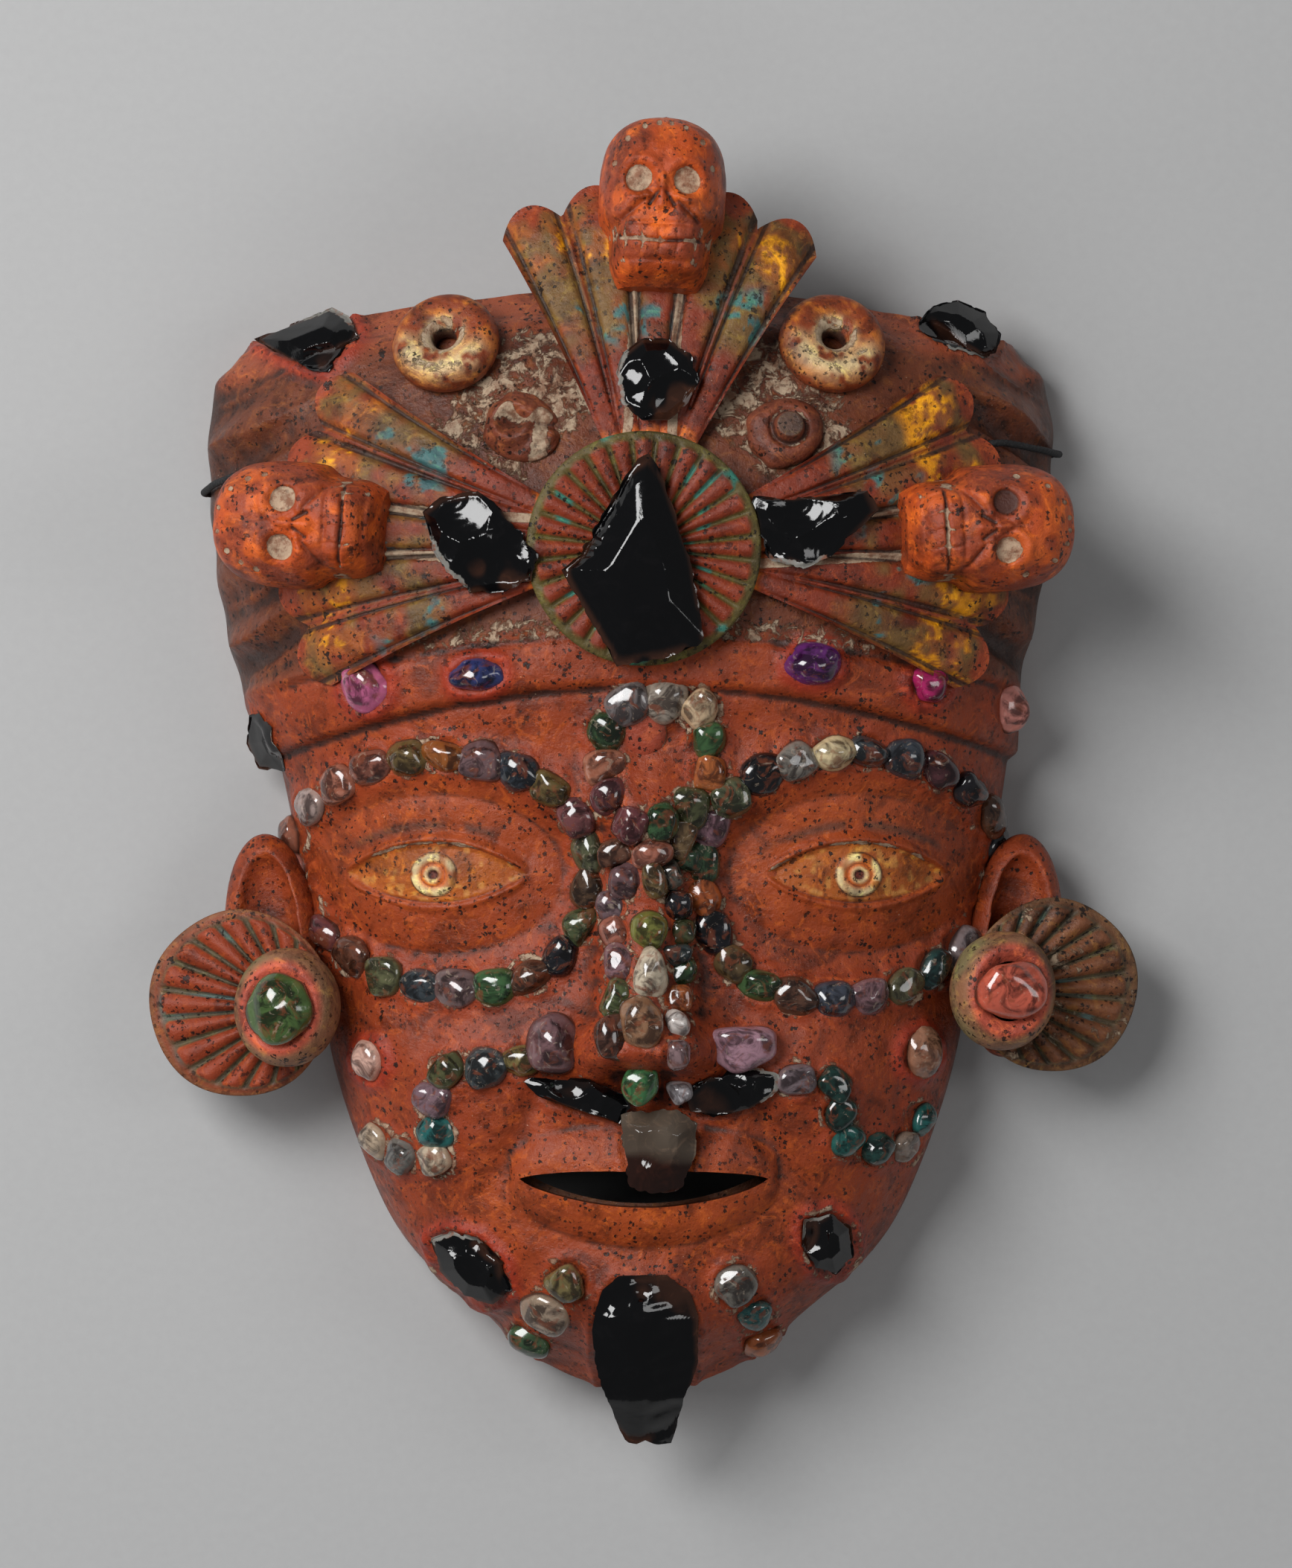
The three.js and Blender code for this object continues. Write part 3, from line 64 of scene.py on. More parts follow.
def make_camera():
    data = bpy.data.cameras.new("camera")
    data.sensor_fit = "VERTICAL"
    data.sensor_height = SENSOR_HEIGHT
    data.lens = SENSOR_HEIGHT * (CAMERA_HEIGHT - FOCUS_HEIGHT) / (PHOTO_HEIGHT * MM_PER_PIXEL)
    data.clip_end = SIGHT_METRES
    camera = bpy.data.objects.new("camera", data)
    x = (PHOTO_WIDTH / 2 - ORIGIN_PIXEL[0]) * MM_PER_PIXEL
    y = (ORIGIN_PIXEL[1] - PHOTO_HEIGHT / 2) * MM_PER_PIXEL
    camera.location = (x * MM, y * MM, CAMERA_HEIGHT * MM)
    scene.collection.objects.link(camera)
    scene.camera = camera


make_camera()


# Small mathematics, on numbers or arrays alike.
def lerp(a, b, t):
    return a + (b - a) * t


def step(a, b, x):
    t = np.clip((x - a) / (b - a), 0, 1)
    return t * t * (3 - 2 * t)


def bell(x, centre, width):
    return np.exp(-(((x - centre) / width) ** 2))


def through(stations, position):
    """A smooth curve through stations of (position, value)."""
    p, v = np.array(sorted(stations), float).T
    slopes = np.empty_like(v)
    slopes[1:-1] = (v[2:] - v[:-2]) / (p[2:] - p[:-2])
    slopes[0] = (v[1] - v[0]) / (p[1] - p[0])
    slopes[-1] = (v[-1] - v[-2]) / (p[-1] - p[-2])
    i = np.clip(np.searchsorted(p, position) - 1, 0, len(p) - 2)
    h = p[i + 1] - p[i]
    t = np.clip((position - p[i]) / h, 0, 1)
    start = (1 + 2 * t) * (1 - t) ** 2 * v[i] + t * (1 - t) ** 2 * h * slopes[i]
    return start + t * t * (3 - 2 * t) * v[i + 1] + t * t * (t - 1) * h * slopes[i + 1]


def hashed(ix, iy, iz, seed):
    h = np.sin(ix * 127.1 + iy * 311.7 + iz * 74.7 + seed * 53.3) * 43758.5453
    return h - np.floor(h)


def cloud(points, size, seed=0):
    """Smooth value noise from 0 to 1 with blobs of the given size."""
    q = np.asarray(points, float) / size
    cell = np.floor(q)
    w = q - cell
    w = w * w * (3 - 2 * w)
    total = 0
    for dx in (0, 1):
        for dy in (0, 1):
            for dz in (0, 1):
                share = (w[..., 0] if dx else 1 - w[..., 0]) * (w[..., 1] if dy else 1 - w[..., 1])
                share = share * (w[..., 2] if dz else 1 - w[..., 2])
                corner = (cell[..., 0] + dx, cell[..., 1] + dy, cell[..., 2] + dz)
                total = total + share * hashed(*corner, seed)
    return total


def unit(v):
    return v / np.maximum(np.linalg.norm(v, axis=-1, keepdims=True), 1e-9)


def srgb(red, green, blue):
    """A colour as Blender's linear values."""
    c = np.array([red, green, blue]) / 255
    return np.where(c <= 0.04045, c / 12.92, ((c + 0.055) / 1.055) ** 2.4)


def mix(a, b, share):
    """Colour a turning into colour b by a share that may be an array."""
    share = np.asarray(share)[..., None]
    return a * (1 - share) + b * share


# Colours.
CLAY = srgb(132, 54, 26)
CLAY_ORANGE = srgb(178, 82, 30)
CLAY_PINK = srgb(140, 72, 48)
CLAY_BROWN = srgb(90, 52, 34)
SKULL_ORANGE = srgb(168, 68, 26)
SLIP = srgb(170, 150, 126)
# The dark colour of the painted shade in hollows, which also stands for grime.
SHADE_AND_GRIME = srgb(44, 30, 26)
PAINT_RED = srgb(116, 44, 24)
PAINT_OLIVE = srgb(104, 82, 44)
PAINT_TEAL = srgb(44, 102, 104)
PAINT_YELLOW = srgb(204, 132, 18)
PAINT_CREAM = srgb(214, 190, 142)
CLAY_VEIL = srgb(160, 98, 62)
SLIP_BROWN = srgb(120, 88, 68)
SPECK = srgb(22, 16, 14)
DUST = srgb(206, 178, 150)
STONE_BED = srgb(112, 56, 34)
STONE_VEIN = srgb(176, 158, 138)
# The dark colour of the painted shade at a stone's foot.
STONE_FOOT_SHADE = srgb(44, 26, 20)
RIND_GREY = srgb(118, 116, 110)
RIND_CLAY = srgb(120, 74, 54)
CORD_BLACK = srgb(20, 20, 22)
CORD_WORN = srgb(62, 60, 58)
SEAT_RED = srgb(146, 44, 30)
LID_SHADE = srgb(66, 50, 42)
EYE_ORANGE = srgb(158, 84, 32)
EYE_OCHRE = srgb(190, 132, 66)
IRIS_RING = srgb(190, 88, 26)
PUPIL = srgb(92, 36, 26)
BEAD_BROWN = srgb(124, 54, 26)
BEAD_OCHRE = srgb(184, 104, 40)
ROSETTE_OLIVE = srgb(84, 72, 38)
ROSETTE_GREEN = srgb(40, 118, 106)
DISC_RED = srgb(132, 54, 30)
DISC_BROWN = srgb(110, 66, 42)
DISC_VALLEY = srgb(84, 72, 54)
DISC_TEAL = srgb(84, 118, 118)
DISC_RIM = srgb(104, 78, 52)
SPOOL_RED = srgb(176, 78, 58)
SPOOL_BROWN = srgb(136, 94, 68)
SPOOL_OLIVE = srgb(110, 106, 74)
BOSS_RED = srgb(116, 60, 42)
BOSS_KNOB = srgb(84, 62, 52)
TEARDROP_RED = srgb(138, 60, 42)
FEATHER_FOOT = srgb(178, 84, 30)
FEATHER_OCHRE = srgb(150, 80, 30)
FEATHER_TIP = srgb(136, 56, 30)
FEATHER_SHAFT = srgb(120, 46, 30)
SKULL_SHADE = srgb(140, 60, 34)
SKULL_LIGHT = srgb(196, 88, 34)
SKULL_SOCKET = srgb(70, 38, 30)
SMOKE_PALE = srgb(84, 74, 64)
SMOKE_DEEP = srgb(58, 48, 40)
SMOKE_FOOT = srgb(30, 13, 8)
GLASS_BLACK = srgb(4, 4, 5)
GLASS_THIN = srgb(44, 25, 17)
GLASS_UNDER = srgb(6, 6, 7)
FLOOR_GREY = srgb(158, 158, 158)
FLOOR_LIGHT = srgb(164, 164, 164)

STONES = {
    "grey": srgb(112, 104, 100),
    "clear": srgb(150, 134, 120),
    "cream": srgb(186, 160, 134),
    "amber": srgb(156, 86, 44),
    "green": srgb(54, 80, 52),
    "moss": srgb(78, 82, 56),
    "olive": srgb(100, 84, 54),
    "plum": srgb(96, 54, 56),
    "lilac": srgb(116, 90, 94),
    "rose": srgb(148, 92, 78),
    "brown": srgb(86, 58, 44),
    "black": srgb(26, 26, 30),
    "slate": srgb(56, 62, 68),
    "teal": srgb(34, 92, 90),
    "deep": srgb(28, 56, 52),
    "white": srgb(196, 192, 188),
}


# Materials.
class Surface:
    """A node material under construction."""

    def __init__(self, name):
        self.material = bpy.data.materials.new(name)
        self.material.use_nodes = True
        self.nodes = self.material.node_tree.nodes
        self.links = self.material.node_tree.links
        self.shader = self.nodes["Principled BSDF"]
        self.place = self.node("ShaderNodeTexCoord").outputs["Object"]

    def node(self, kind, settings=None, **inputs):
        made = self.nodes.new(kind)
        for key, value in (settings or {}).items():
            setattr(made, key, value)
        for key, value in inputs.items():
            self.feed(made.inputs[key], value)
        return made

    def feed(self, socket, value):
        if isinstance(value, bpy.types.NodeSocket):
            self.links.new(value, socket)
        elif hasattr(value, "__len__"):
            socket.default_value = (*[float(v) for v in value], 1)[: len(socket.default_value)]
        else:
            socket.default_value = value

    def attribute(self, name, output="Fac"):
        return self.node("ShaderNodeAttribute", {"attribute_name": name}).outputs[output]

    def noise(self, size_mm, detail=4, roughness=0.55, distortion=0.0):
        made = self.node(
            "ShaderNodeTexNoise",
            Vector=self.place,
            Scale=1 / (size_mm * MM),
            Detail=detail,
            Roughness=roughness,
            Distortion=distortion,
        )
        return made.outputs["Fac"]

    def between(self, value, low, high):
        """0 below low and 1 above high, smooth between."""
        made = self.node("ShaderNodeMapRange", {"interpolation_type": "SMOOTHSTEP"}, Value=value)
        made.inputs["From Min"].default_value = low
        made.inputs["From Max"].default_value = high
        return made.outputs["Result"]

    def math(self, operation, a, b):
        made = self.node("ShaderNodeMath", {"operation": operation})
        self.feed(made.inputs[0], a)
        self.feed(made.inputs[1], b)
        return made.outputs[0]

    def times(self, a, b):
        return self.math("MULTIPLY", a, b)

    def plus(self, a, b):
        return self.math("ADD", a, b)

    def minus(self, a, b):
        return self.math("SUBTRACT", a, b)

    def patches(self, low, high, *noise):
        """Patches of a noise: 0 where it is below low, and 1 where it is above high."""
        return self.between(self.noise(*noise), low, high)

    def ragged(self, amount, *noise):
        """A noise about zero, that frays the edge of a patch."""
        return self.times(self.minus(self.noise(*noise), 0.5), amount)

    def cover(self, color, over, share, strength):
        """The colour under another one, laid on by a share and a strength."""
        return self.blend(color, over, self.times(share, strength))

    def specks(self, cell_mm, most, rarity):
        """Ragged spots, one to a cell and few of them large; most is the largest radius in cells."""
        cell = cell_mm * MM
        bend = self.node("ShaderNodeTexNoise", Vector=self.place, Scale=2.4 / cell, Detail=3.0)
        shift = self.node("ShaderNodeVectorMath", {"operation": "MULTIPLY_ADD"})
        for socket, value in zip(shift.inputs, (bend.outputs["Color"], (cell * 1.3,) * 3, self.place)):
            self.feed(socket, value)
        cells = self.node("ShaderNodeTexVoronoi", Vector=shift.outputs[0], Scale=1 / cell)
        chance = self.node("ShaderNodeSeparateColor", Color=cells.outputs["Color"]).outputs[0]
        radius = self.math("MULTIPLY", self.math("POWER", chance, rarity), most)
        return self.between(self.math("SUBTRACT", radius, cells.outputs["Distance"]), -0.02, 0.03)

    def blend(self, a, b, share, mode="MIX"):
        made = self.node("ShaderNodeMix", {"data_type": "RGBA", "blend_type": mode})
        self.feed(made.inputs[0], share)
        self.feed(made.inputs[6], a)
        self.feed(made.inputs[7], b)
        return made.outputs[2]

    def tinted(self, color, red, green, blue):
        """The colour with its channels scaled."""
        return self.blend(color, (red, green, blue), 1.0, "MULTIPLY")

    def bump(self, height, distance_mm, normal=None):
        made = self.node("ShaderNodeBump", Height=height, Distance=distance_mm * MM)
        if normal is not None:
            self.links.new(normal, made.inputs["Normal"])
        return made.outputs["Normal"]

    def finish(self, **inputs):
        for key, value in inputs.items():
            self.feed(self.shader.inputs[key.replace("_", " ")], value)
        return self.material


def clay_material(name, specks, sheen_low, sheen_high):
    """Waxed clay under worn paint, with pale slip in its joints, painted shade in its hollows mixed with
    grime, and black specks.
    """
    s = Surface(name)
    paint = s.attribute("paint", "Color")
    dark = s.patches(0.44, 0.66, 15, 6, 0.66, 0.9)
    color = s.cover(paint, s.tinted(paint, 0.36, 0.36, 0.4), dark, 0.85)
    warm = s.patches(0.5, 0.66, 7, 7, 0.72, 1.6)
    color = s.cover(color, s.tinted(paint, 1.6, 1.85, 1.2), warm, 0.75)
    veil = s.patches(0.55, 0.74, 2.2, 7, 0.8, 2.2)
    color = s.cover(color, CLAY_VEIL, veil, 0.32)
    slip_noise = s.ragged(1.9, 4.5, 7, 0.72, 0.6)
    slip = s.between(s.plus(s.attribute("slip"), slip_noise), 0.42, 0.6)
    slip_color = s.blend(SLIP, SLIP_BROWN, s.patches(0.42, 0.62, 5, 7, 0.75))
    color = s.cover(color, slip_color, slip, 0.9)
    # Painted shade: a dark colour laid into hollows, creases and undersides by the grime attribute,
    # broken by noise, together with grime.
    shade_and_grime_noise = s.times(s.noise(6, 6, 0.7), 1.3)
    grime = s.between(s.times(s.attribute("grime"), shade_and_grime_noise), 0.1, 0.62)
    color = s.cover(color, SHADE_AND_GRIME, grime, 0.88)
    patch = s.patches(0.34, 0.58, 19, 4, 0.6)
    fine = s.specks(1.5, lerp(0.4, 0.54, specks), 2.4)
    coarse = s.times(s.specks(4.0, lerp(0.22, 0.34, specks), 3.0), patch)
    everywhere = s.plus(s.times(patch, 0.7), 0.3)
    dots = s.math("MAXIMUM", s.times(fine, everywhere), coarse)
    dots = s.times(dots, s.minus(1.0, s.times(slip, 0.7)))
    color = s.cover(color, SPECK, dots, 0.94)
    dust = s.patches(0.72, 0.77, 0.8, 2, 0.6)
    color = s.cover(color, DUST, dust, 0.4)
    gloss = s.node("ShaderNodeMapRange", Value=s.noise(9, 6, 0.7))
    gloss.inputs["From Min"].default_value = 0.35
    gloss.inputs["From Max"].default_value = 0.65
    gloss.inputs["To Min"].default_value = sheen_low
    gloss.inputs["To Max"].default_value = sheen_high
    rough = s.plus(gloss.outputs["Result"], s.times(slip, 0.3))
    fine_bump = s.bump(s.noise(1.1, 6, 0.7), 0.22)
    handled = s.bump(s.noise(5, 5, 0.65), 0.7, fine_bump)
    crust = s.bump(s.plus(slip, s.times(dots, -0.8)), 0.35, handled)
    return s.finish(Base_Color=color, Roughness=rough, Normal=crust, Specular_IOR_Level=0.3)


def stone_material(name):
    """A tumbled stone with a wet polish: a dark heart with clay seen through it, a painted highlight on
    its rim, and painted shade at its foot.
    """
    s = Surface(name)
    tint = s.attribute("paint", "Color")
    heart = s.blend(tint, s.tinted(tint, 0.2, 0.18, 0.18), s.patches(0.36, 0.6, 7, 4, 0.6, 1.5))
    through_clay = s.patches(0.52, 0.64, 5, 4, 0.6, 1.0)
    heart = s.cover(heart, STONE_BED, through_clay, 0.5)
    # Painted highlight: the rim, given by the slip attribute, is lightened.
    rim_highlight_noise = s.ragged(1.4, 3, 5, 0.7)
    rim_highlight_share = s.between(s.plus(s.attribute("slip"), rim_highlight_noise), 0.5, 0.9)
    color = s.cover(heart, s.tinted(tint, 1.15, 1.1, 1.05), rim_highlight_share, 0.6)
    vein = s.patches(0.6, 0.66, 5, 4, 0.6, 3.0)
    color = s.cover(color, STONE_VEIN, vein, 0.25)
    # Painted shade: the stone darkens towards its foot.
    foot = s.between(s.attribute("grime"), 0.2, 0.8)
    color = s.cover(color, STONE_FOOT_SHADE, foot, 0.85)
    pits = s.bump(s.noise(3.4, 2, 0.5), 0.09)
    return s.finish(Base_Color=color, Roughness=0.13, Normal=pits, Coat_Weight=0.5, Coat_Roughness=0.05)


def obsidian_material(name):
    """Volcanic glass: nearly black and mirror-smooth, with fine ripples, smoke and a matte rind."""
    s = Surface(name)
    paint = s.attribute("paint", "Color")
    smoke = s.patches(0.5, 0.72, 6, 6, 0.65, 1.2)
    color = s.cover(paint, s.tinted(paint, 2.6, 2.3, 2.1), smoke, 0.6)
    rind_noise = s.ragged(1.2, 3, 6, 0.7)
    rind = s.between(s.plus(s.attribute("slip"), rind_noise), 0.45, 0.6)
    rind_color = s.blend(RIND_GREY, RIND_CLAY, s.patches(0.5, 0.64, 4, 5, 0.7))
    color = s.cover(color, rind_color, rind, 0.85)
    waves = s.node(
        "ShaderNodeTexWave",
        {"wave_type": "RINGS", "rings_direction": "SPHERICAL"},
        Vector=s.place,
        Scale=60.0,
        Distortion=9.0,
        Detail=2.0,
    )
    ripple = s.bump(waves.outputs["Fac"], 0.04)
    scratched = s.bump(s.noise(1.6, 4, 0.6), 0.03, ripple)
    rough = s.plus(0.07, s.times(rind, 0.5))
    return s.finish(Base_Color=color, Roughness=rough, Normal=scratched)


def cord_material():
    s = Surface("waxed_cord")
    color = s.blend(CORD_BLACK, CORD_WORN, s.patches(0.5, 0.75, 0.8, 4, 0.7))
    return s.finish(Base_Color=color, Roughness=0.7, Normal=s.bump(s.noise(0.5, 4, 0.7), 0.15))


CLAY_FINISH = clay_material("burnished_clay", 0.6, 0.28, 0.5)
PAINTED_FINISH = clay_material("painted_clay", 0.85, 0.32, 0.56)
STONE_FINISH = stone_material("tumbled_stone")
OBSIDIAN_FINISH = obsidian_material("black_obsidian")
SMOKY_FINISH = obsidian_material("smoky_obsidian")
CORD_FINISH = cord_material()


# Mesh building.
class Form:
    """A mesh gathered from grids of points, with the paint, slip, and painted shade mixed with grime at
    each point.
    """

    def __init__(self):
        self.points = []
        self.faces = []
        self.layers = {"paint": [], "slip": [], "grime": []}
        self.count = 0

    def grid(self, points, paint=CLAY, slip=0.0, grime=0.0, wrap=False, closed=False, flip=False):
        """Adds a grid whose rows run down and columns run right, so that it faces the viewer.

        wrap joins the last column to the first, and closed joins the last row to the first.
        """
        rows, columns = points.shape[:2]
        index = self.count + np.arange(rows * columns).reshape(rows, columns)
        index = np.hstack([index, index[:, :1]]) if wrap else index
        index = np.vstack([index, index[:1]]) if closed else index
        corners = [index[:-1, :-1], index[1:, :-1], index[1:, 1:], index[:-1, 1:]]
        quads = np.stack(corners, -1).reshape(-1, 4)
        self.faces.append(quads[:, ::-1] if flip else quads)
        self.points.append(points.reshape(-1, 3))
        shape = (rows, columns)
        self.layers["paint"].append(np.broadcast_to(paint, (*shape, 3)).reshape(-1, 3))
        self.layers["slip"].append(np.broadcast_to(slip, shape).ravel())
        self.layers["grime"].append(np.broadcast_to(grime, shape).ravel())
        self.count += rows * columns

    def piece(self, name, material, slot, *nodes, sharp_degrees=None):
        """Makes the object, which stands for the named CAD nodes."""
        mesh = bpy.data.meshes.new(name)
        mesh.from_pydata((np.vstack(self.points) * MM).tolist(), [], np.vstack(self.faces).tolist())
        paint = np.vstack(self.layers["paint"])
        colors = mesh.color_attributes.new("paint", "FLOAT_COLOR", "POINT")
        colors.data.foreach_set("color", np.hstack([paint, np.ones((len(paint), 1))]).ravel())
        for key in ("slip", "grime"):
            layer = mesh.attributes.new(key, "FLOAT", "POINT")
            layer.data.foreach_set("value", np.concatenate(self.layers[key]).astype(float))
        mesh.polygons.foreach_set("use_smooth", [True] * len(mesh.polygons))
        if sharp_degrees:
            mesh.set_sharp_from_angle(angle=math.radians(sharp_degrees))
        mesh.materials.append(material)
        made = bpy.data.objects.new(name, mesh)
        scene.collection.objects.link(made)
        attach(made, "root")
        if nodes:
            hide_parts(*nodes)
        return made


def single_grid(name, material, slot, nodes, points, *looks, **joins):
    """Makes a piece of one grid of points."""
    form = Form()
    form.grid(points, *looks, **joins)
    return form.piece(name, material, slot, *nodes)


def side_walls(front, under):
    """The edges of a front sheet and the sheet under it, and whether each wall is turned over."""
    return [
        (front[:, 0], under[:, 0], True),
        (front[:, -1], under[:, -1], False),
        (front[0], under[0], False),
        (front[-1], under[-1], True),
    ]


def blurred(values, times):
    """A grid of values, averaged with its neighbours."""
    for _ in range(times):
        padded = np.pad(values, 1, mode="edge")
        ring = padded[:-2, 1:-1] + padded[2:, 1:-1] + padded[1:-1, :-2] + padded[1:-1, 2:]
        values = 0.5 * values + 0.125 * ring
    return values


def hollows(heights, times, depth):
    """How far each point of a grid lies in a hollow, from 0 to 1."""
    return np.clip((blurred(heights, times) - heights) / depth, 0, 1)


# The cord, in metres: out of the clay under each side fan, over the clay to the rim, and through
# the notches.
CORD_DIAMETER = 0.0022
CORD_ROUTE = [
    (-0.110, 0.0938, 0.0462), (-0.1126, 0.094, 0.0476), (-0.1162, 0.094, 0.0472),
    (-0.1194, 0.0935, 0.0439), (-0.1225, 0.0929, 0.0402), (-0.1258, 0.0918, 0.0359),
    (-0.1287, 0.0909, 0.0296), (-0.1305, 0.0901, 0.0245), (-0.1318, 0.0893, 0.0194),
    (-0.133, 0.0886, 0.0142), (-0.1335, 0.0882, 0.0102), (-0.1328, 0.088, 0.0064),
    (-0.1296, 0.088, 0.003), (-0.122, 0.0878, 0.0015), (-0.104, 0.086, 0.0012),
    (-0.055, 0.081, 0.0012), (0, 0.081, 0.0012), (0.05, 0.087, 0.0012),
    (0.097, 0.097, 0.0012), (0.114, 0.0998, 0.0015), (0.122, 0.1, 0.003),
    (0.1253, 0.1, 0.0064), (0.1261, 0.0999, 0.0102), (0.1256, 0.0999, 0.0142),
    (0.1244, 0.1, 0.0195), (0.1227, 0.1003, 0.0247), (0.1206, 0.1007, 0.0293),
    (0.1176, 0.1011, 0.0338), (0.1144, 0.1017, 0.0384), (0.1115, 0.1021, 0.0418),
    (0.1085, 0.1025, 0.0452), (0.1056, 0.1023, 0.0482), (0.1032, 0.1019, 0.0486),
    (0.101, 0.1014, 0.047),
]
# Its strands, the length of one turn in millimetres, and the sides of its section.
CORD_STRANDS = 3
CORD_TWIST_LENGTH = 6
CORD_SIDES = 15


def smooth_route(route, per_span):
    """Points along a smooth curve through the route, in millimetres."""
    points = np.array(route) / MM
    along = np.concatenate([[0], np.cumsum(np.sqrt(np.linalg.norm(np.diff(points, axis=0), axis=1)))])
    spans = [np.linspace(a, b, per_span, endpoint=False) for a, b in zip(along[:-1], along[1:])]
    fine = np.concatenate([*spans, along[-1:]])
    axes = [through(list(zip(along, points[:, k])), fine) for k in range(3)]
    return np.stack(axes, -1)


def make_cord():
    path = smooth_route(CORD_ROUTE, 12)
    way = unit(np.gradient(path, axis=0))
    length = np.concatenate([[0], np.cumsum(np.linalg.norm(np.diff(path, axis=0), axis=1))])
    side = unit(np.cross(way, [0, 1, 0]))
    up = np.cross(side, way)
    angle = np.linspace(0, 2 * math.pi, CORD_SIDES, endpoint=False)[None]
    turn = 2 * math.pi * length[:, None] / CORD_TWIST_LENGTH
    lobes = np.abs(np.cos(CORD_STRANDS / 2 * (angle - turn)))
    radius = CORD_DIAMETER / MM / 2 * (0.8 + 0.2 * lobes)
    ring = side[:, None] * np.cos(angle)[..., None] + up[:, None] * np.sin(angle)[..., None]
    points = path[:, None] + ring * radius[..., None]
    cord = single_grid("cord", CORD_FINISH, "cord", ["hanging_cord"], points, wrap=True)


make_cord()


# The clay shell: the headdress above and the face below.
TOP_Y = 149
CHIN_Y = -183
HEADDRESS_HALF_LEFT = 130
HEADDRESS_HALF_RIGHT = 122
TEMPLE_HALF = 110
CHEEK_HALF = 95
MOUTH_HALF = 82
JAW_HALF = 64
CHIN_HALF = 42
TOP_CORNER_DROP = 16
CHIN_CORNER_RISE = 16
EDGE_HEIGHT = 7
TOP_EDGE_HEIGHT = 42
HEADDRESS_HEIGHT = 76
FACE_HEIGHT = 66
CHIN_EDGE_HEIGHT = 24
WALL = 8
NOTCH_HEIGHT = 6.8
NOTCH_Y_LEFT = 88
NOTCH_Y_RIGHT = 100

# The headband and the field of the headdress.
BAND_BOTTOM_Y = 29
BAND_TOP_Y = 43
BAND_BOTTOM_SAG = 0.0017
BAND_TOP_SAG = 0.0013
BAND_RAISE = 3
FIELD_RAISE = 2
FIELD_TOP_Y = 138
FOLD_DEPTH = 2.4
FOLD_PITCH = 21
FOLD_LEAN = 0.55
FIELD_TOP_BOW = 0.0011

# The face, on the canon of equal thirds.
BROW_Y = 4
NOSE_BASE_Y = (BROW_Y + CHIN_Y) / 2
MOUTH_Y = NOSE_BASE_Y - (NOSE_BASE_Y - CHIN_Y) / 3
EYE_Y = BROW_Y - (BROW_Y - NOSE_BASE_Y) / 3
EYE_HALF_WIDTH = 27
EYE_HALF_HEIGHT = 9.5
SOCKET_DEPTH = 4.5
IRIS_RADIUS = 6.8
NOSE_BRIDGE_HALF = 9
NOSE_WING_X = 15
NOSE_BRIDGE_RAISE = 8
NOSE_TIP_RAISE = 22
MOUTH_HALF_WIDTH = 36
MOUTH_OPENING = 11
MOUTH_CURVE = 2.5
LIP_RAISE = 6
LIP_HEIGHT = 13

# Rings of stones round the eyes: centre, half axes, tilt and count.
RING_REACH = TEMPLE_HALF * 0.418
RINGS = {
    "left": {"x": -TEMPLE_HALF * 0.564, "y": -26, "a": RING_REACH, "b": 35, "tilt": 6, "stones": 23},
    "right": {"x": TEMPLE_HALF * 0.577, "y": -27, "a": RING_REACH, "b": 37, "tilt": 9, "stones": 24},
}
RING_OUTER_FULLNESS = 1.75
RING_INNER_FULLNESS = 2.4

ROSETTE_Y = 70


def half_widths(headdress):
    return [
        (TOP_Y, headdress - 10),
        (TOP_Y - 14, headdress - 2),
        (ROSETTE_Y + 30, headdress),
        (ROSETTE_Y - 10, headdress - 3),
        (BAND_BOTTOM_Y, headdress - 10),
        (BROW_Y, TEMPLE_HALF),
        (EYE_Y - 30, lerp(TEMPLE_HALF, CHEEK_HALF, 0.7)),
        (NOSE_BASE_Y, CHEEK_HALF - 2),
        (MOUTH_Y, MOUTH_HALF),
        (lerp(MOUTH_Y, CHIN_Y, 0.6), JAW_HALF),
        (CHIN_Y, CHIN_HALF),
    ]


LEFT_HALF_WIDTHS = half_widths(HEADDRESS_HALF_LEFT)
RIGHT_HALF_WIDTHS = half_widths(HEADDRESS_HALF_RIGHT)
CREST_HEIGHTS = [
    (TOP_Y, TOP_EDGE_HEIGHT),
    (TOP_Y - 16, TOP_EDGE_HEIGHT + 16),
    (ROSETTE_Y + 30, HEADDRESS_HEIGHT - 5),
    (ROSETTE_Y, HEADDRESS_HEIGHT),
    (BAND_BOTTOM_Y, HEADDRESS_HEIGHT),
    (BROW_Y, lerp(HEADDRESS_HEIGHT, FACE_HEIGHT, 0.5)),
    (EYE_Y, FACE_HEIGHT),
    (NOSE_BASE_Y, FACE_HEIGHT),
    (MOUTH_Y, FACE_HEIGHT - 3),
    (lerp(MOUTH_Y, CHIN_Y, 0.6), FACE_HEIGHT - 13),
    (CHIN_Y, CHIN_EDGE_HEIGHT),
]


def half_width(u, row):
    return np.where(u < 0, through(LEFT_HALF_WIDTHS, row), through(RIGHT_HALF_WIDTHS, row))


def corner_shift(row):
    """How far the ends of a row lie above or below its middle."""
    chin = CHIN_CORNER_RISE * step(MOUTH_Y, CHIN_Y, row)
    return chin - TOP_CORNER_DROP * step(ROSETTE_Y + 10, TOP_Y, row)


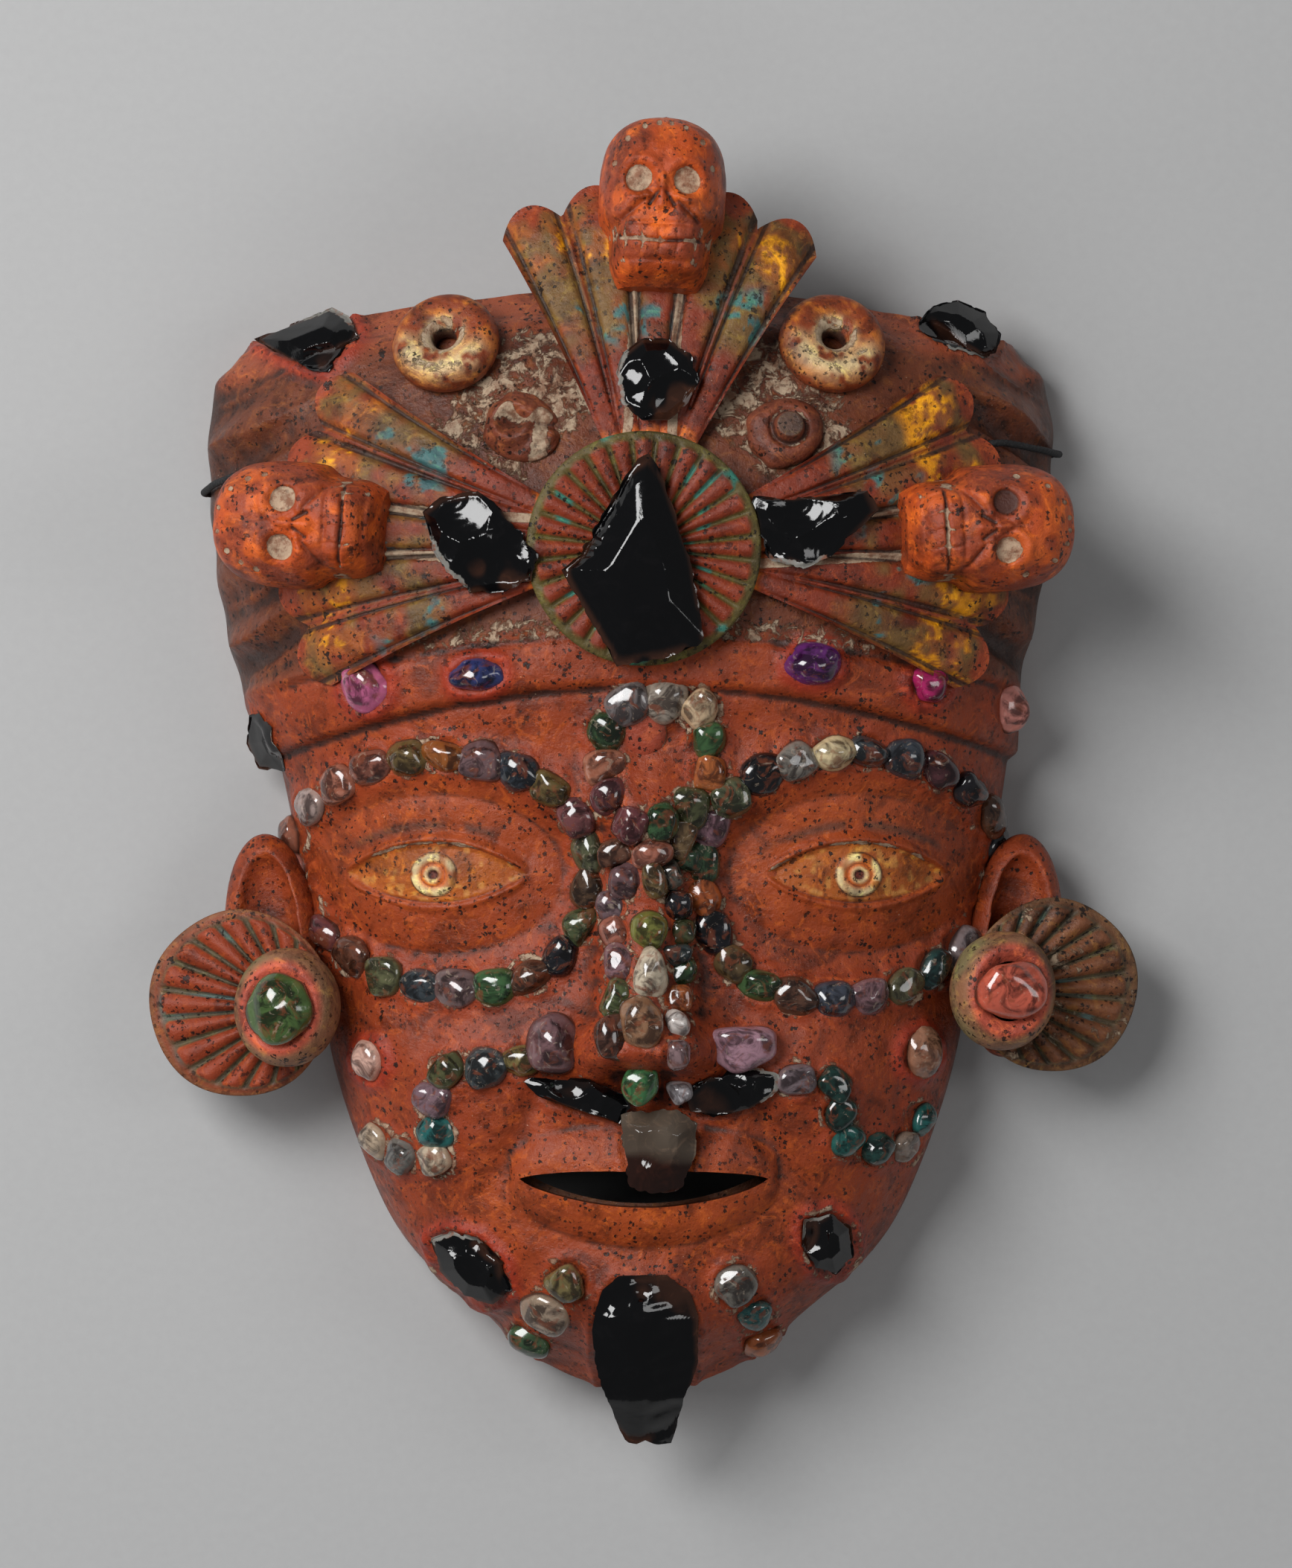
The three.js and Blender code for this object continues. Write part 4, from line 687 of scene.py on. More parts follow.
def shell_point(u, row, inset=0.0):
    half = half_width(u, row) - inset
    crest = through(CREST_HEIGHTS, row) - inset
    rounding = np.clip(1 - np.abs(u) ** 2.6, 0, 1) ** (1 / 2.2)
    y = row + corner_shift(row) * u * u
    return np.stack([u * half, y, EDGE_HEIGHT + (crest - EDGE_HEIGHT) * rounding], -1)


def shell_normal(u, row):
    d = 0.004
    a = shell_point(np.clip(u + d, -1, 1), row) - shell_point(np.clip(u - d, -1, 1), row)
    b = shell_point(u, np.minimum(row + 1, TOP_Y)) - shell_point(u, np.maximum(row - 1, CHIN_Y))
    return unit(np.cross(a, b))


def nose_relief(x, y):
    t = np.clip((BROW_Y - 6 - y) / (BROW_Y - 6 - NOSE_BASE_Y - 8), 0, 1)
    raised = lerp(NOSE_BRIDGE_RAISE, NOSE_TIP_RAISE, t**1.4)
    half = lerp(NOSE_BRIDGE_HALF, NOSE_BRIDGE_HALF + 3, t)
    ends = step(BROW_Y + 12, BROW_Y - 10, y) * step(NOSE_BASE_Y - 3, NOSE_BASE_Y + 9, y)
    wings = bell(np.abs(x), NOSE_WING_X, 8.5) * bell(y, NOSE_BASE_Y + 10, 9) * 11
    return raised * np.exp(-((np.abs(x) / (half * 1.15)) ** 2.4)) * ends + wings


def of_ring(key, x):
    """A value of the ring of stones on the side where x lies."""
    return np.where(x < 0, RINGS["left"][key], RINGS["right"][key])


def eye_relief(x, y):
    ring_x = of_ring("x", x)
    ring_b = of_ring("b", x)
    dx = x - ring_x
    dy = y - EYE_Y
    socket = np.exp(-(np.hypot(dx / (RINGS["left"]["a"] * 0.82), dy / (ring_b * 0.8)) ** 4))
    ball = np.maximum(0, 1 - (dx / (EYE_HALF_WIDTH * 1.4)) ** 2 - (dy / (EYE_HALF_HEIGHT * 2.5)) ** 2)
    lid = EYE_HALF_HEIGHT * np.maximum(0, 1 - (dx / EYE_HALF_WIDTH) ** 2)
    inside = step(1.5, -1, np.abs(dy) - lid) * step(EYE_HALF_WIDTH, EYE_HALF_WIDTH - 4, np.abs(dx))
    return -SOCKET_DEPTH * socket + SOCKET_DEPTH * 1.6 * ball**0.9 - 1.3 * inside


def mouth_line(x):
    return MOUTH_Y + MOUTH_CURVE * (x / MOUTH_HALF_WIDTH) ** 2


def mouth_relief(x, y):
    across = np.maximum(0, 1 - (x / (MOUTH_HALF_WIDTH * 1.12)) ** 2)
    reach = MOUTH_OPENING / 2 + LIP_HEIGHT * across**0.6
    lips = np.maximum(0, 1 - (np.abs(y - mouth_line(x)) / reach) ** 2.6)
    fold = bell(np.abs(x), 30 + (NOSE_BASE_Y - y) * 0.45, 5) * step(MOUTH_Y - 8, MOUTH_Y + 6, y)
    return LIP_RAISE * across**0.5 * lips - 2 * fold * step(NOSE_BASE_Y + 8, NOSE_BASE_Y - 6, y)


def face_relief(x, y):
    arch = np.abs(np.abs(x) - TEMPLE_HALF / 2) * 0.12
    brow = 3.5 * bell(y, BROW_Y - 4 - arch, 11) * step(TEMPLE_HALF + 2, TEMPLE_HALF * 0.64, np.abs(x))
    cheek = 4 * bell(np.abs(x), CHEEK_HALF * 0.55, CHEEK_HALF * 0.27) * bell(y, NOSE_BASE_Y + 2, 20)
    chin = 7 * bell(x, 0, 24) * bell(y, lerp(MOUTH_Y, CHIN_Y, 0.62), 16)
    return brow + cheek + chin + nose_relief(x, y) + eye_relief(x, y) + mouth_relief(x, y)


def band_edges(x):
    return BAND_BOTTOM_Y - BAND_BOTTOM_SAG * x * x, BAND_TOP_Y - BAND_TOP_SAG * x * x


def headdress_relief(x, y, u):
    bottom, top = band_edges(x)
    band = BAND_RAISE * step(bottom - 2, bottom + 2, y) * step(top + 3, top - 2, y)
    above = step(top - 2, top + 3, y)
    field = FIELD_RAISE * above * step(FIELD_TOP_Y + 5, FIELD_TOP_Y, y + FIELD_TOP_BOW * x * x)
    side = step(0.76, 0.9, np.abs(u)) * step(1.01, 0.97, np.abs(u)) * above
    folds = FOLD_DEPTH * np.sin(2 * math.pi * (y + FOLD_LEAN * np.abs(x)) / FOLD_PITCH)
    return band + field + folds * side * step(FIELD_TOP_Y - 4, FIELD_TOP_Y - 16, y)


def face_share(x, y, u):
    brow = BAND_BOTTOM_Y - BAND_BOTTOM_SAG * x * x - 3
    return step(brow, brow - 14, y) * step(1.0, 0.9, np.abs(u))


def relief(x, y, u):
    return lerp(headdress_relief(x, y, u), face_relief(x, y), face_share(x, y, u))


def carved_point(u, row):
    point = shell_point(u, row)
    return point + shell_normal(u, row) * relief(point[..., 0], point[..., 1], u)[..., None]


def surface(x, y):
    """The clay surface at x, y, with its normal."""
    x, y = np.asarray(x, float), np.asarray(y, float)
    row = np.clip(y, CHIN_Y, TOP_Y)
    for _ in range(8):
        u = np.clip(x / half_width(x, row), -0.995, 0.995)
        row = np.clip(y - corner_shift(row) * u * u, CHIN_Y, TOP_Y)
    return carved_point(u, row), shell_normal(u, row)


# Courses of the stone rows: x, y and kind of each stone.
NOSE_ROW_RIGHT = [
    (10, -36.5, "black"), (11, -44.4, "moss"), (9.4, -51.3, "slate"), (11.1, -57, "green"),
    (10.1, -64.4, "amber"), (9.6, -72.1, "white"), (9.8, -80.5, "lilac"),
]
NOSE_ROW_LEFT = [
    (-9.8, -36.7, "lilac"), (-8.6, -44.7, "rose"), (-7.4, -54.2, "lilac"), (-8, -64.7, "moss"),
    (-9.4, -76, "brown"),
]
FOREHEAD_RING = [
    (-4.7, 23.4, "grey"), (6.5, 24.4, "clear"), (16.8, 22.5, "cream"), (19.3, 13.1, "green"),
    (19.6, 3.5, "amber"), (13.4, -6, "moss"), (5.4, -9.6, "green"), (-3.8, -10.1, "plum"),
    (-10.5, -2.6, "plum"), (-11.4, 6, "rose"), (-11.4, 15.2, "green"),
]
FOREHEAD_ROW = [
    (-8.3, -19.8, "brown"), (2.2, -19.3, "rose"), (10.9, -16.3, "olive"), (13, -22, "green"),
    (8, -27, "grey"), (2.9, -28.3, "olive"), (-5.2, -28.4, "lilac"),
]
MOUSTACHE_ROW_LEFT = [
    (-36.2, -83, "olive"), (-46.5, -85, "slate"), (-57.1, -86, "moss"), (-61.5, -94.5, "lilac"),
    (-61.2, -103.8, "teal"), (-61.9, -112.5, "cream"), (-71.7, -111.6, "grey"), (-80, -107.5, "cream"),
]
MOUSTACHE_ROW_RIGHT = [
    (44.6, -88.6, "grey"), (55.5, -90, "deep"), (57.4, -98.6, "deep"), (59.7, -106.8, "teal"),
    (69, -109.8, "deep"), (77.9, -109, "clear"), (83, -101, "teal"),
]
CHIN_ROW_LEFT = [(-22.8, -149, "olive"), (-29.4, -158, "clear"), (-33.8, -167, "green")]
CHIN_ROW_RIGHT = [(27.2, -150, "grey"), (33, -158.6, "teal"), (35.2, -167, "amber")]
RING_KINDS = {
    "left": [
        "brown", "moss", "plum", "olive", "slate", "lilac", "amber", "olive", "rose", "rose", "clear",
        "rose", "rose", "lilac", "plum", "brown", "moss", "slate", "lilac", "green", "brown", "black",
        "moss",
    ],
    "right": [
        "slate", "brown", "black", "plum", "slate", "slate", "cream", "grey", "black", "moss", "lilac",
        "green", "amber", "black", "olive", "green", "brown", "slate", "lilac", "moss", "deep", "grey",
        "brown", "black",
    ],
}
STONE_WIDTH = 9


def ring_course(side):
    """The course of a ring of stones: blunt beside the nose, pointed towards the temple."""
    ring = RINGS[side]
    sign = math.copysign(1, ring["x"])
    tilt = math.radians(sign * ring["tilt"])
    angle = np.linspace(0, 2 * math.pi, 720, endpoint=False)
    c, s = np.cos(angle), np.sin(angle)
    power = 2 / np.where(c * sign > 0, RING_OUTER_FULLNESS, RING_INNER_FULLNESS)
    dx = ring["a"] * np.sign(c) * np.abs(c) ** power
    dy = ring["b"] * np.sign(s) * np.abs(s) ** power
    x = ring["x"] + dx * math.cos(tilt) - dy * math.sin(tilt)
    y = ring["y"] + dx * math.sin(tilt) + dy * math.cos(tilt)
    along = np.concatenate([[0], np.cumsum(np.hypot(np.diff(x), np.diff(y)))])
    wanted = np.linspace(0, along[-1], ring["stones"], endpoint=False)
    return list(zip(np.interp(wanted, along, x), np.interp(wanted, along, y), RING_KINDS[side]))


ROWS = {
    "eye_ring_stones_left": (ring_course("left"), STONE_WIDTH, True, "agate_brown"),
    "eye_ring_stones_right": (ring_course("right"), STONE_WIDTH, True, "agate_brown"),
    "nose_side_stones_left": (NOSE_ROW_LEFT, STONE_WIDTH - 1, False, "agate_brown"),
    "nose_side_stones_right": (NOSE_ROW_RIGHT, STONE_WIDTH - 1.5, False, "agate_brown"),
    "forehead_ring_stones": (FOREHEAD_RING, STONE_WIDTH + 1, True, "agate_brown"),
    "forehead_row_stones": (FOREHEAD_ROW, STONE_WIDTH, False, "agate_brown"),
    "moustache_stones_left": (MOUSTACHE_ROW_LEFT, STONE_WIDTH, False, "teal_stone"),
    "moustache_stones_right": (MOUSTACHE_ROW_RIGHT, STONE_WIDTH, False, "teal_stone"),
    "chin_stones_left": (CHIN_ROW_LEFT, STONE_WIDTH + 2, False, "amber_stone"),
    "chin_stones_right": (CHIN_ROW_RIGHT, STONE_WIDTH + 2, False, "amber_stone"),
}

# Single stones: tint and slot. Their places and sizes come from the CAD.
SINGLES = {
    "brow_band_stone_pink": (srgb(168, 92, 124), "agate_rose"),
    "brow_band_stone_blue": (srgb(56, 62, 118), "agate_blue"),
    "brow_band_stone_purple": (srgb(98, 40, 98), "amethyst"),
    "brow_band_stone_magenta": (srgb(166, 40, 96), "agate_rose"),
    "brow_band_chip_rose": (srgb(232, 158, 140), "agate_rose"),
    "nose_stone_green_yellow": (srgb(122, 120, 58), "agate_green"),
    "nose_stone_clear": (srgb(168, 158, 142), "agate_clear"),
    "nose_stone_smoky": (srgb(126, 92, 70), "agate_brown"),
    "nose_stone_green": (srgb(74, 124, 82), "agate_green"),
    "nose_stone_white": (srgb(214, 212, 216), "agate_clear"),
    "nostril_amethyst_left": (srgb(124, 92, 98), "amethyst"),
    "nostril_amethyst_right": (srgb(156, 122, 128), "amethyst"),
    "cheek_stone_left": (srgb(204, 158, 140), "agate_rose"),
    "cheek_stone_right": (srgb(170, 124, 98), "agate_clear"),
    "spool_stone_green": (srgb(82, 104, 60), "agate_green"),
    "spool_stone_coral": (srgb(206, 92, 74), "coral_stone"),
}
# How far a single stone is lifted off the clay, and turned towards the front.
SINGLE_LIFT = {
    "nostril_amethyst_left": (3, 0.4),
    "nostril_amethyst_right": (3, 0.4),
    "nose_stone_green": (9, 0.85),
    "nose_stone_white": (3, 0.5),
    "nose_stone_smoky": (1, 0.4),
    "brow_band_chip_rose": (2.5, 0.6),
}
SINGLE_RISE = {"brow_band_chip_rose": 3.0, "nostril_amethyst_left": 8.0, "nostril_amethyst_right": 7.0}
RED_SEATS = [name for name in SINGLES if name.startswith(("brow_band_stone", "cheek"))]
FLAKES = [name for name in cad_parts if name.startswith("obsidian_")]


def node_box(name):
    low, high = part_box(name)
    return np.array(low) / MM, np.array(high) / MM


SEAT_ANGLES = np.linspace(0, 2 * math.pi, 24, endpoint=False)
SEAT_WAYS = np.stack([np.cos(SEAT_ANGLES), np.sin(SEAT_ANGLES)])


def clay_seats():
    """Every bed in the clay: how far its outline reaches each way, and how pale and red its rim is."""
    seats = []
    for course, width, _, _ in ROWS.values():
        for x, y, _ in course:
            seats.append((np.array([x, y]) @ SEAT_WAYS + width * 0.56, 0.5, 0.2))
    for name in [*SINGLES, *FLAKES]:
        if name.startswith("spool") or name in ("obsidian_point_centre", "obsidian_flake_top"):
            continue
        corners = np.array([v.co[:2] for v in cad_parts[name].data.vertices]) / MM
        framed = name in RED_SEATS or "jaw" in name or "corner_left" in name
        paleness = 0.5 if "jaw" in name else 0.3
        redness = 1.0 if framed else 0.15
        seats.append(((corners @ SEAT_WAYS).max(axis=0), paleness, redness))
    return seats


SEATS = clay_seats()


def seat_marks(x, y):
    """The rim of mortar round every bed, its pale slip and its red paint, at each point."""
    rim, slip, red = np.zeros_like(x), np.zeros_like(x), np.zeros_like(x)
    for reach, paleness, redness in SEATS:
        near = (x > -reach[12] - 8) & (x < reach[0] + 8) & (y > -reach[18] - 8) & (y < reach[6] + 8)
        if not near.any():
            continue
        out = (np.stack([x[near], y[near]], -1) @ SEAT_WAYS - reach).max(axis=-1)
        ridge = 0.9 * bell(out, 0.6, 1.2) + redness * 1.1 * bell(out, 1.8, 1.5)
        rim[near] = np.maximum(rim[near], ridge)
        slip[near] = np.maximum(slip[near], bell(out, 0.8, 1.5) * paleness)
        red[near] = np.maximum(red[near], bell(out, 1.4, 2.6) * redness)
    return rim, slip, red


def field_slip(x, y):
    """Pale slip left on the field between the fans, round the rosette and over the band."""
    _, top = band_edges(x)
    reach = np.hypot(x, y - ROSETTE_Y)
    upper = step(36, 44, reach) * step(84, 66, reach) * step(ROSETTE_Y + 6, ROSETTE_Y + 22, y)
    lower = step(top + 12, top + 5, y) * step(top - 1, top + 2, y) * step(85, 60, np.abs(x))
    return np.maximum(upper * 0.54, lower * 0.48)


# Height and breadth of the waves in hand-pressed clay.
CLAY_WAVES = ((1.3, 19), (0.8, 7), (0.3, 3))


def handmade(points):
    """The small unevenness of hand-pressed clay."""
    return sum(tall * (cloud(points, size, size) - 0.5) for tall, size in CLAY_WAVES)


def shell_sheet(u, row):
    """One part of the front of the shell: its points, paint, slip, and painted shade with grime."""
    point = shell_point(u, row)
    normal = shell_normal(u, row)
    x, y = point[..., 0], point[..., 1]
    carved = relief(x, y, u)
    rim, slip, red = seat_marks(x, y)
    edge = step(1.0, 0.97, np.abs(u))
    bottom, top = band_edges(x)
    grooves = -1.1 * bell(y, bottom, 1.5) - 0.8 * bell(y, top + 1, 1.4)
    head = 1 - face_share(x, y, u)
    nostril = -3.0 * bell(np.abs(x), 6.5, 3.2) * bell(y, NOSE_BASE_Y + 3, 2.6)
    fine = grooves * head * edge + handmade(point) * edge + nostril
    fine = fine + rim * (0.7 + 0.6 * cloud(point, 2.6, 9)) * edge
    side = step(0.7, 0.84, np.abs(u)) * step(top + 2, top + 8, y)
    side = side * step(FIELD_TOP_Y - 2, FIELD_TOP_Y - 14, y)
    sway = y + FOLD_LEAN * np.abs(x) + 6 * cloud(point, 26, 21)
    carving = -2.4 * np.abs(np.sin(math.pi * sway / FOLD_PITCH * 1.7)) ** 0.6 + 1.1
    fine = fine + carving * side * edge
    height = carved + fine
    points = point + normal * height[..., None]
    hollow = hollows(height, 10, 0.7)
    ring_x = of_ring("x", x)
    warm = bell(x, ring_x, 34) * bell(y, EYE_Y + 8, 22) + bell(x, 0, 40) * bell(y, MOUTH_Y - 3, 16)
    paint = mix(CLAY, CLAY_ORANGE, np.clip(warm, 0, 1) * 0.7 * cloud(point, 24, 51))
    bowed_y = y + FIELD_TOP_BOW * x * x
    brown = head * step(top, top + 6, y) * step(FIELD_TOP_Y + 4, FIELD_TOP_Y - 4, bowed_y)
    paint = mix(paint, CLAY_BROWN, brown * 0.75)
    paint = mix(paint, CLAY_PINK, head * step(FIELD_TOP_Y - 6, FIELD_TOP_Y + 4, bowed_y) * 0.9)
    paint = mix(paint, SEAT_RED, np.clip(red, 0, 1) * 0.7)
    lids = bell(y, EYE_Y + 15 - 0.011 * (x - ring_x) ** 2, 1.5) * step(31, 22, np.abs(x - ring_x))
    paint = mix(paint, LID_SHADE, lids * step(0.3, 0.5, cloud(point, 7, 52)) * 0.75)
    slip = np.clip(np.maximum(slip * (0.4 + 0.9 * cloud(point, 9, 53)), field_slip(x, y) * head), 0, 1)
    # Painted shade in the hollows and along the edge where the shell turns down, with patchy grime on
    # the brown field.
    grime = np.clip(hollow + 0.4 * brown * cloud(point, 16, 31) + 0.5 * bell(np.abs(u), 1, 0.02), 0, 1)
    return points, paint, slip, grime


def notched_floor(points):
    """The height of the rim's lower edge, arched where the cord passes."""
    notch_y = np.where(points[:, 0] < 0, NOTCH_Y_LEFT, NOTCH_Y_RIGHT)
    arch = np.clip(1 - ((points[:, 1] - notch_y) / 3.4) ** 2, 0, 1) ** 0.4
    side = np.abs(points[:, 0]) > TEMPLE_HALF
    return np.where(side, NOTCH_HEIGHT * arch, 0)


SHELL_COLUMNS = 266
UPPER_ROWS = 246
LOWER_ROWS = 58
INNER_COLUMNS = 60
INNER_UPPER_ROWS = 70
INNER_LOWER_ROWS = 18


def mouth_gap(u):
    """Half the height of the open mouth at u, and the height of its middle line."""
    x = u * half_width(u, MOUTH_Y)
    open_share = np.clip(1 - (x / MOUTH_HALF_WIDTH) ** 2, 0, 1) ** 0.7
    return MOUTH_OPENING / 2 * open_share, mouth_line(x)


def shell_parts(columns, upper_rows, lower_rows, inset):
    """The columns and rows above and below the mouth, as two pairs of grids."""
    u = np.sin(math.pi / 2 * np.linspace(-1, 1, columns + 1))[None]
    gap, line = mouth_gap(u)
    upper = np.linspace(0, 1, upper_rows + 1)[:, None]
    lower = np.linspace(0, 1, lower_rows + 1)[:, None]
    top = lerp(TOP_Y - inset, line + gap, upper)
    bottom = lerp(line - gap, CHIN_Y + inset, lower)
    return [(np.broadcast_to(u, rows.shape), rows) for rows in (top, bottom)]


def make_shell():
    form = Form()
    sheets = []
    for u, row in shell_parts(SHELL_COLUMNS, UPPER_ROWS, LOWER_ROWS, 0):
        points, paint, slip, grime = shell_sheet(u, row)
        form.grid(points, paint, slip, grime)
        sheets.append((points, paint))
    inner = []
    for u, row in shell_parts(INNER_COLUMNS, INNER_UPPER_ROWS, INNER_LOWER_ROWS, WALL):
        points = shell_point(u, row, WALL)
        points[..., 2] += 0.8 * (cloud(points, 14, 41) - 0.5)
        # The inside is brown clay with a little painted shade.
        form.grid(points, CLAY_BROWN, 0.12, 0.3, flip=True)
        inner.append(points)
    wall(form, sheets, inner)
    lips(form, sheets)
    return form.piece("clay_shell", CLAY_FINISH, "terracotta", "mask_shell")


def outer_loop(sheets):
    """The points round the edge of a front or back sheet, from its top left, clockwise."""
    upper, lower = sheets
    right = np.vstack([upper[:, -1], lower[1:, -1]])
    left = np.vstack([upper[:, 0], lower[1:, 0]])[::-1]
    return np.vstack([upper[0], right[1:], lower[-1, ::-1][1:], left[1:-1]])


def wall(form, sheets, inner):
    """The rim: down from the front, across its flat foot, and up to the hollow."""
    edge = outer_loop([points for points, _ in sheets])
    foot = edge.copy()
    foot[:, 2] = notched_floor(edge)
    levels = [lerp(edge, foot, t) for t in (0, 0.25, 0.5, 0.75, 1)]
    inward = -unit(np.gradient(edge[:, :2], axis=0))[:, ::-1] * [-1, 1]
    middle = np.array([0, -20])
    inward *= np.sign(np.sum(inward * (middle - edge[:, :2]), axis=1))[:, None]
    heel = foot.copy()
    heel[:, :2] += inward * WALL
    form.grid(np.stack([*levels, heel]), CLAY_PINK, 0.05, 0.12, wrap=True)
    hollow = outer_loop(inner)
    ground = hollow.copy()
    ground[:, 2] = notched_floor(hollow * [1.07, 1, 1])
    # The wall of the hollow carries painted shade.
    form.grid(np.stack([hollow, ground]), CLAY_BROWN, 0.1, 0.4, wrap=True, flip=True)


def lips(form, sheets):
    """The cut edges of the mouth slot, through the thickness of the shell, painted darker as painted
    shade inside the slot.
    """
    for (points, paint), end, flip in ((sheets[0], -1, False), (sheets[1], 0, True)):
        edge = points[end]
        open_columns = np.abs(edge[:, 0]) < MOUTH_HALF_WIDTH
        front = edge[open_columns]
        back = front - [0, 0, WALL + LIP_RAISE + 3]
        grid = np.stack([lerp(front, back, t) for t in (0, 0.15, 0.5, 1)])
        # Painted shade: the slot's walls take the front paint darkened to 0.6, with more painted shade
        # on top.
        form.grid(grid, paint[end][open_columns][None] * 0.6, 0, 0.6, flip=flip)


clay = make_shell()
CLAY_TREE = BVHTree.FromPolygons(
    [tuple(v.co / MM) for v in clay.data.vertices],
    [tuple(p.vertices) for p in clay.data.polygons],
)


# Eyes: lids, eyeball and a ringed disc, on the socket.
EYE_COLUMNS = 150
EYE_ROWS = 80
PUPIL_RADIUS = 1.9


def make_eye(side):
    ring_x = RINGS[side]["x"]
    reach_x, reach_y = EYE_HALF_WIDTH * 1.24, EYE_HALF_HEIGHT * 1.9
    columns = np.linspace(-reach_x, reach_x, EYE_COLUMNS)
    rows = np.linspace(reach_y, -reach_y, EYE_ROWS)
    dx, dy = np.meshgrid(columns, rows)
    across = np.maximum(0, 1 - (dx / EYE_HALF_WIDTH) ** 2)
    upper = EYE_HALF_HEIGHT * across
    lower = -EYE_HALF_HEIGHT * 0.86 * across
    edge = np.where(dy > 0, dy - upper, lower - dy)
    corner = step(EYE_HALF_WIDTH * 1.1, EYE_HALF_WIDTH * 0.9, np.abs(dx))
    ball = np.sqrt(np.maximum(0, 1 - (dx / EYE_HALF_WIDTH) ** 2 - (dy / (EYE_HALF_HEIGHT * 1.5)) ** 2))
    lid = 1.7 * bell(edge, 1.3, 1.5) * corner * np.where(dy > 0, 1, 0.8)
    crease = -0.9 * bell(edge, 5.2, 1.2) * corner * (dy > 0)
    reach = np.hypot(dx, dy)
    disc = 1.0 * step(IRIS_RADIUS, IRIS_RADIUS - 0.8, reach) - 0.5 * bell(reach, IRIS_RADIUS * 0.52, 0.6)
    pupil = -0.7 * step(PUPIL_RADIUS, 1.2, reach)
    inside = step(0.5, -0.6, edge)
    border = step(1, 0.7, np.hypot(dx / reach_x, dy / reach_y))
    height = -0.7 + border * (0.75 + lid + crease + inside * (2.2 * ball - 0.6 + disc + pupil))
    base, normal = surface(ring_x + dx, EYE_Y + dy)
    points = base + normal * (height + 0.4 * (cloud(base, 6, 12) - 0.5))[..., None]
    worn = cloud(base, 3, 61)
    paint = mix(CLAY, CLAY_ORANGE, 0.35 * cloud(base, 14, 51))
    paint = mix(paint, EYE_ORANGE, inside * (0.5 + 0.5 * worn))
    paint = mix(paint, EYE_OCHRE, inside * step(0.55, 0.75, cloud(base, 2.2, 62)) * 0.6)
    iris = step(IRIS_RADIUS + 0.2, IRIS_RADIUS - 0.6, reach)
    paint = mix(paint, PAINT_CREAM, iris * step(0.2, 0.5, worn))
    paint = mix(paint, IRIS_RING, bell(reach, IRIS_RADIUS * 0.5, 1.1))
    paint = mix(paint, PUPIL, step(2, 1.3, reach))
    pale = bell(edge, 0.4, 0.7) * corner * (dy > 0) * 0.8
    # Painted shade in the hollows and grooves of the eye.
    grime = np.clip(hollows(height, 6, 0.3) * border, 0, 1)
    pale = pale * step(0.35, 0.6, cloud(points, 8, 3))
    return single_grid(f"eye_{side}", CLAY_FINISH, "terracotta", [], points, paint, pale, grime)


for eye_side in RINGS:
    make_eye(eye_side)


# Shapes turned about an axis, set on the clay or held in the frame.
def polar(rings, sides, shape):
    """A grid whose rows run from the middle outwards; shape gives x, y, z from share and angle."""
    share = np.linspace(0, 1, rings + 1)[:, None]
    angle = np.linspace(0, 2 * math.pi, sides, endpoint=False)[None]
    return np.stack(np.broadcast_arrays(*shape(share, angle)), -1)


def on_clay(x, y, lift=0.0, turn_degrees=0.0, lean=0.0):
    """The matrix that sets a shape on the clay at x, y with its +Z along the normal."""
    point, normal = surface(x, y)
    normal = unit(lerp(normal, np.array([0, 0, 1.0]), lean))
    turn = Matrix.Rotation(math.radians(turn_degrees), 4, "Z")
    tilt = Vector((0, 0, 1)).rotation_difference(Vector(normal)).to_matrix().to_4x4()
    return Matrix.Translation(Vector(point + normal * lift)) @ tilt @ turn


def moved(points, matrix):
    m = np.array(matrix)
    return points @ m[:3, :3].T + m[:3, 3]


# Pierced beads.
BEAD_RADIUS = 16.2
BEAD_HOLE_RADIUS = 3.2
BEAD_THICKNESS = 12
BEADS = {"left": (-58.3, 129), "right": (55.4, 129)}


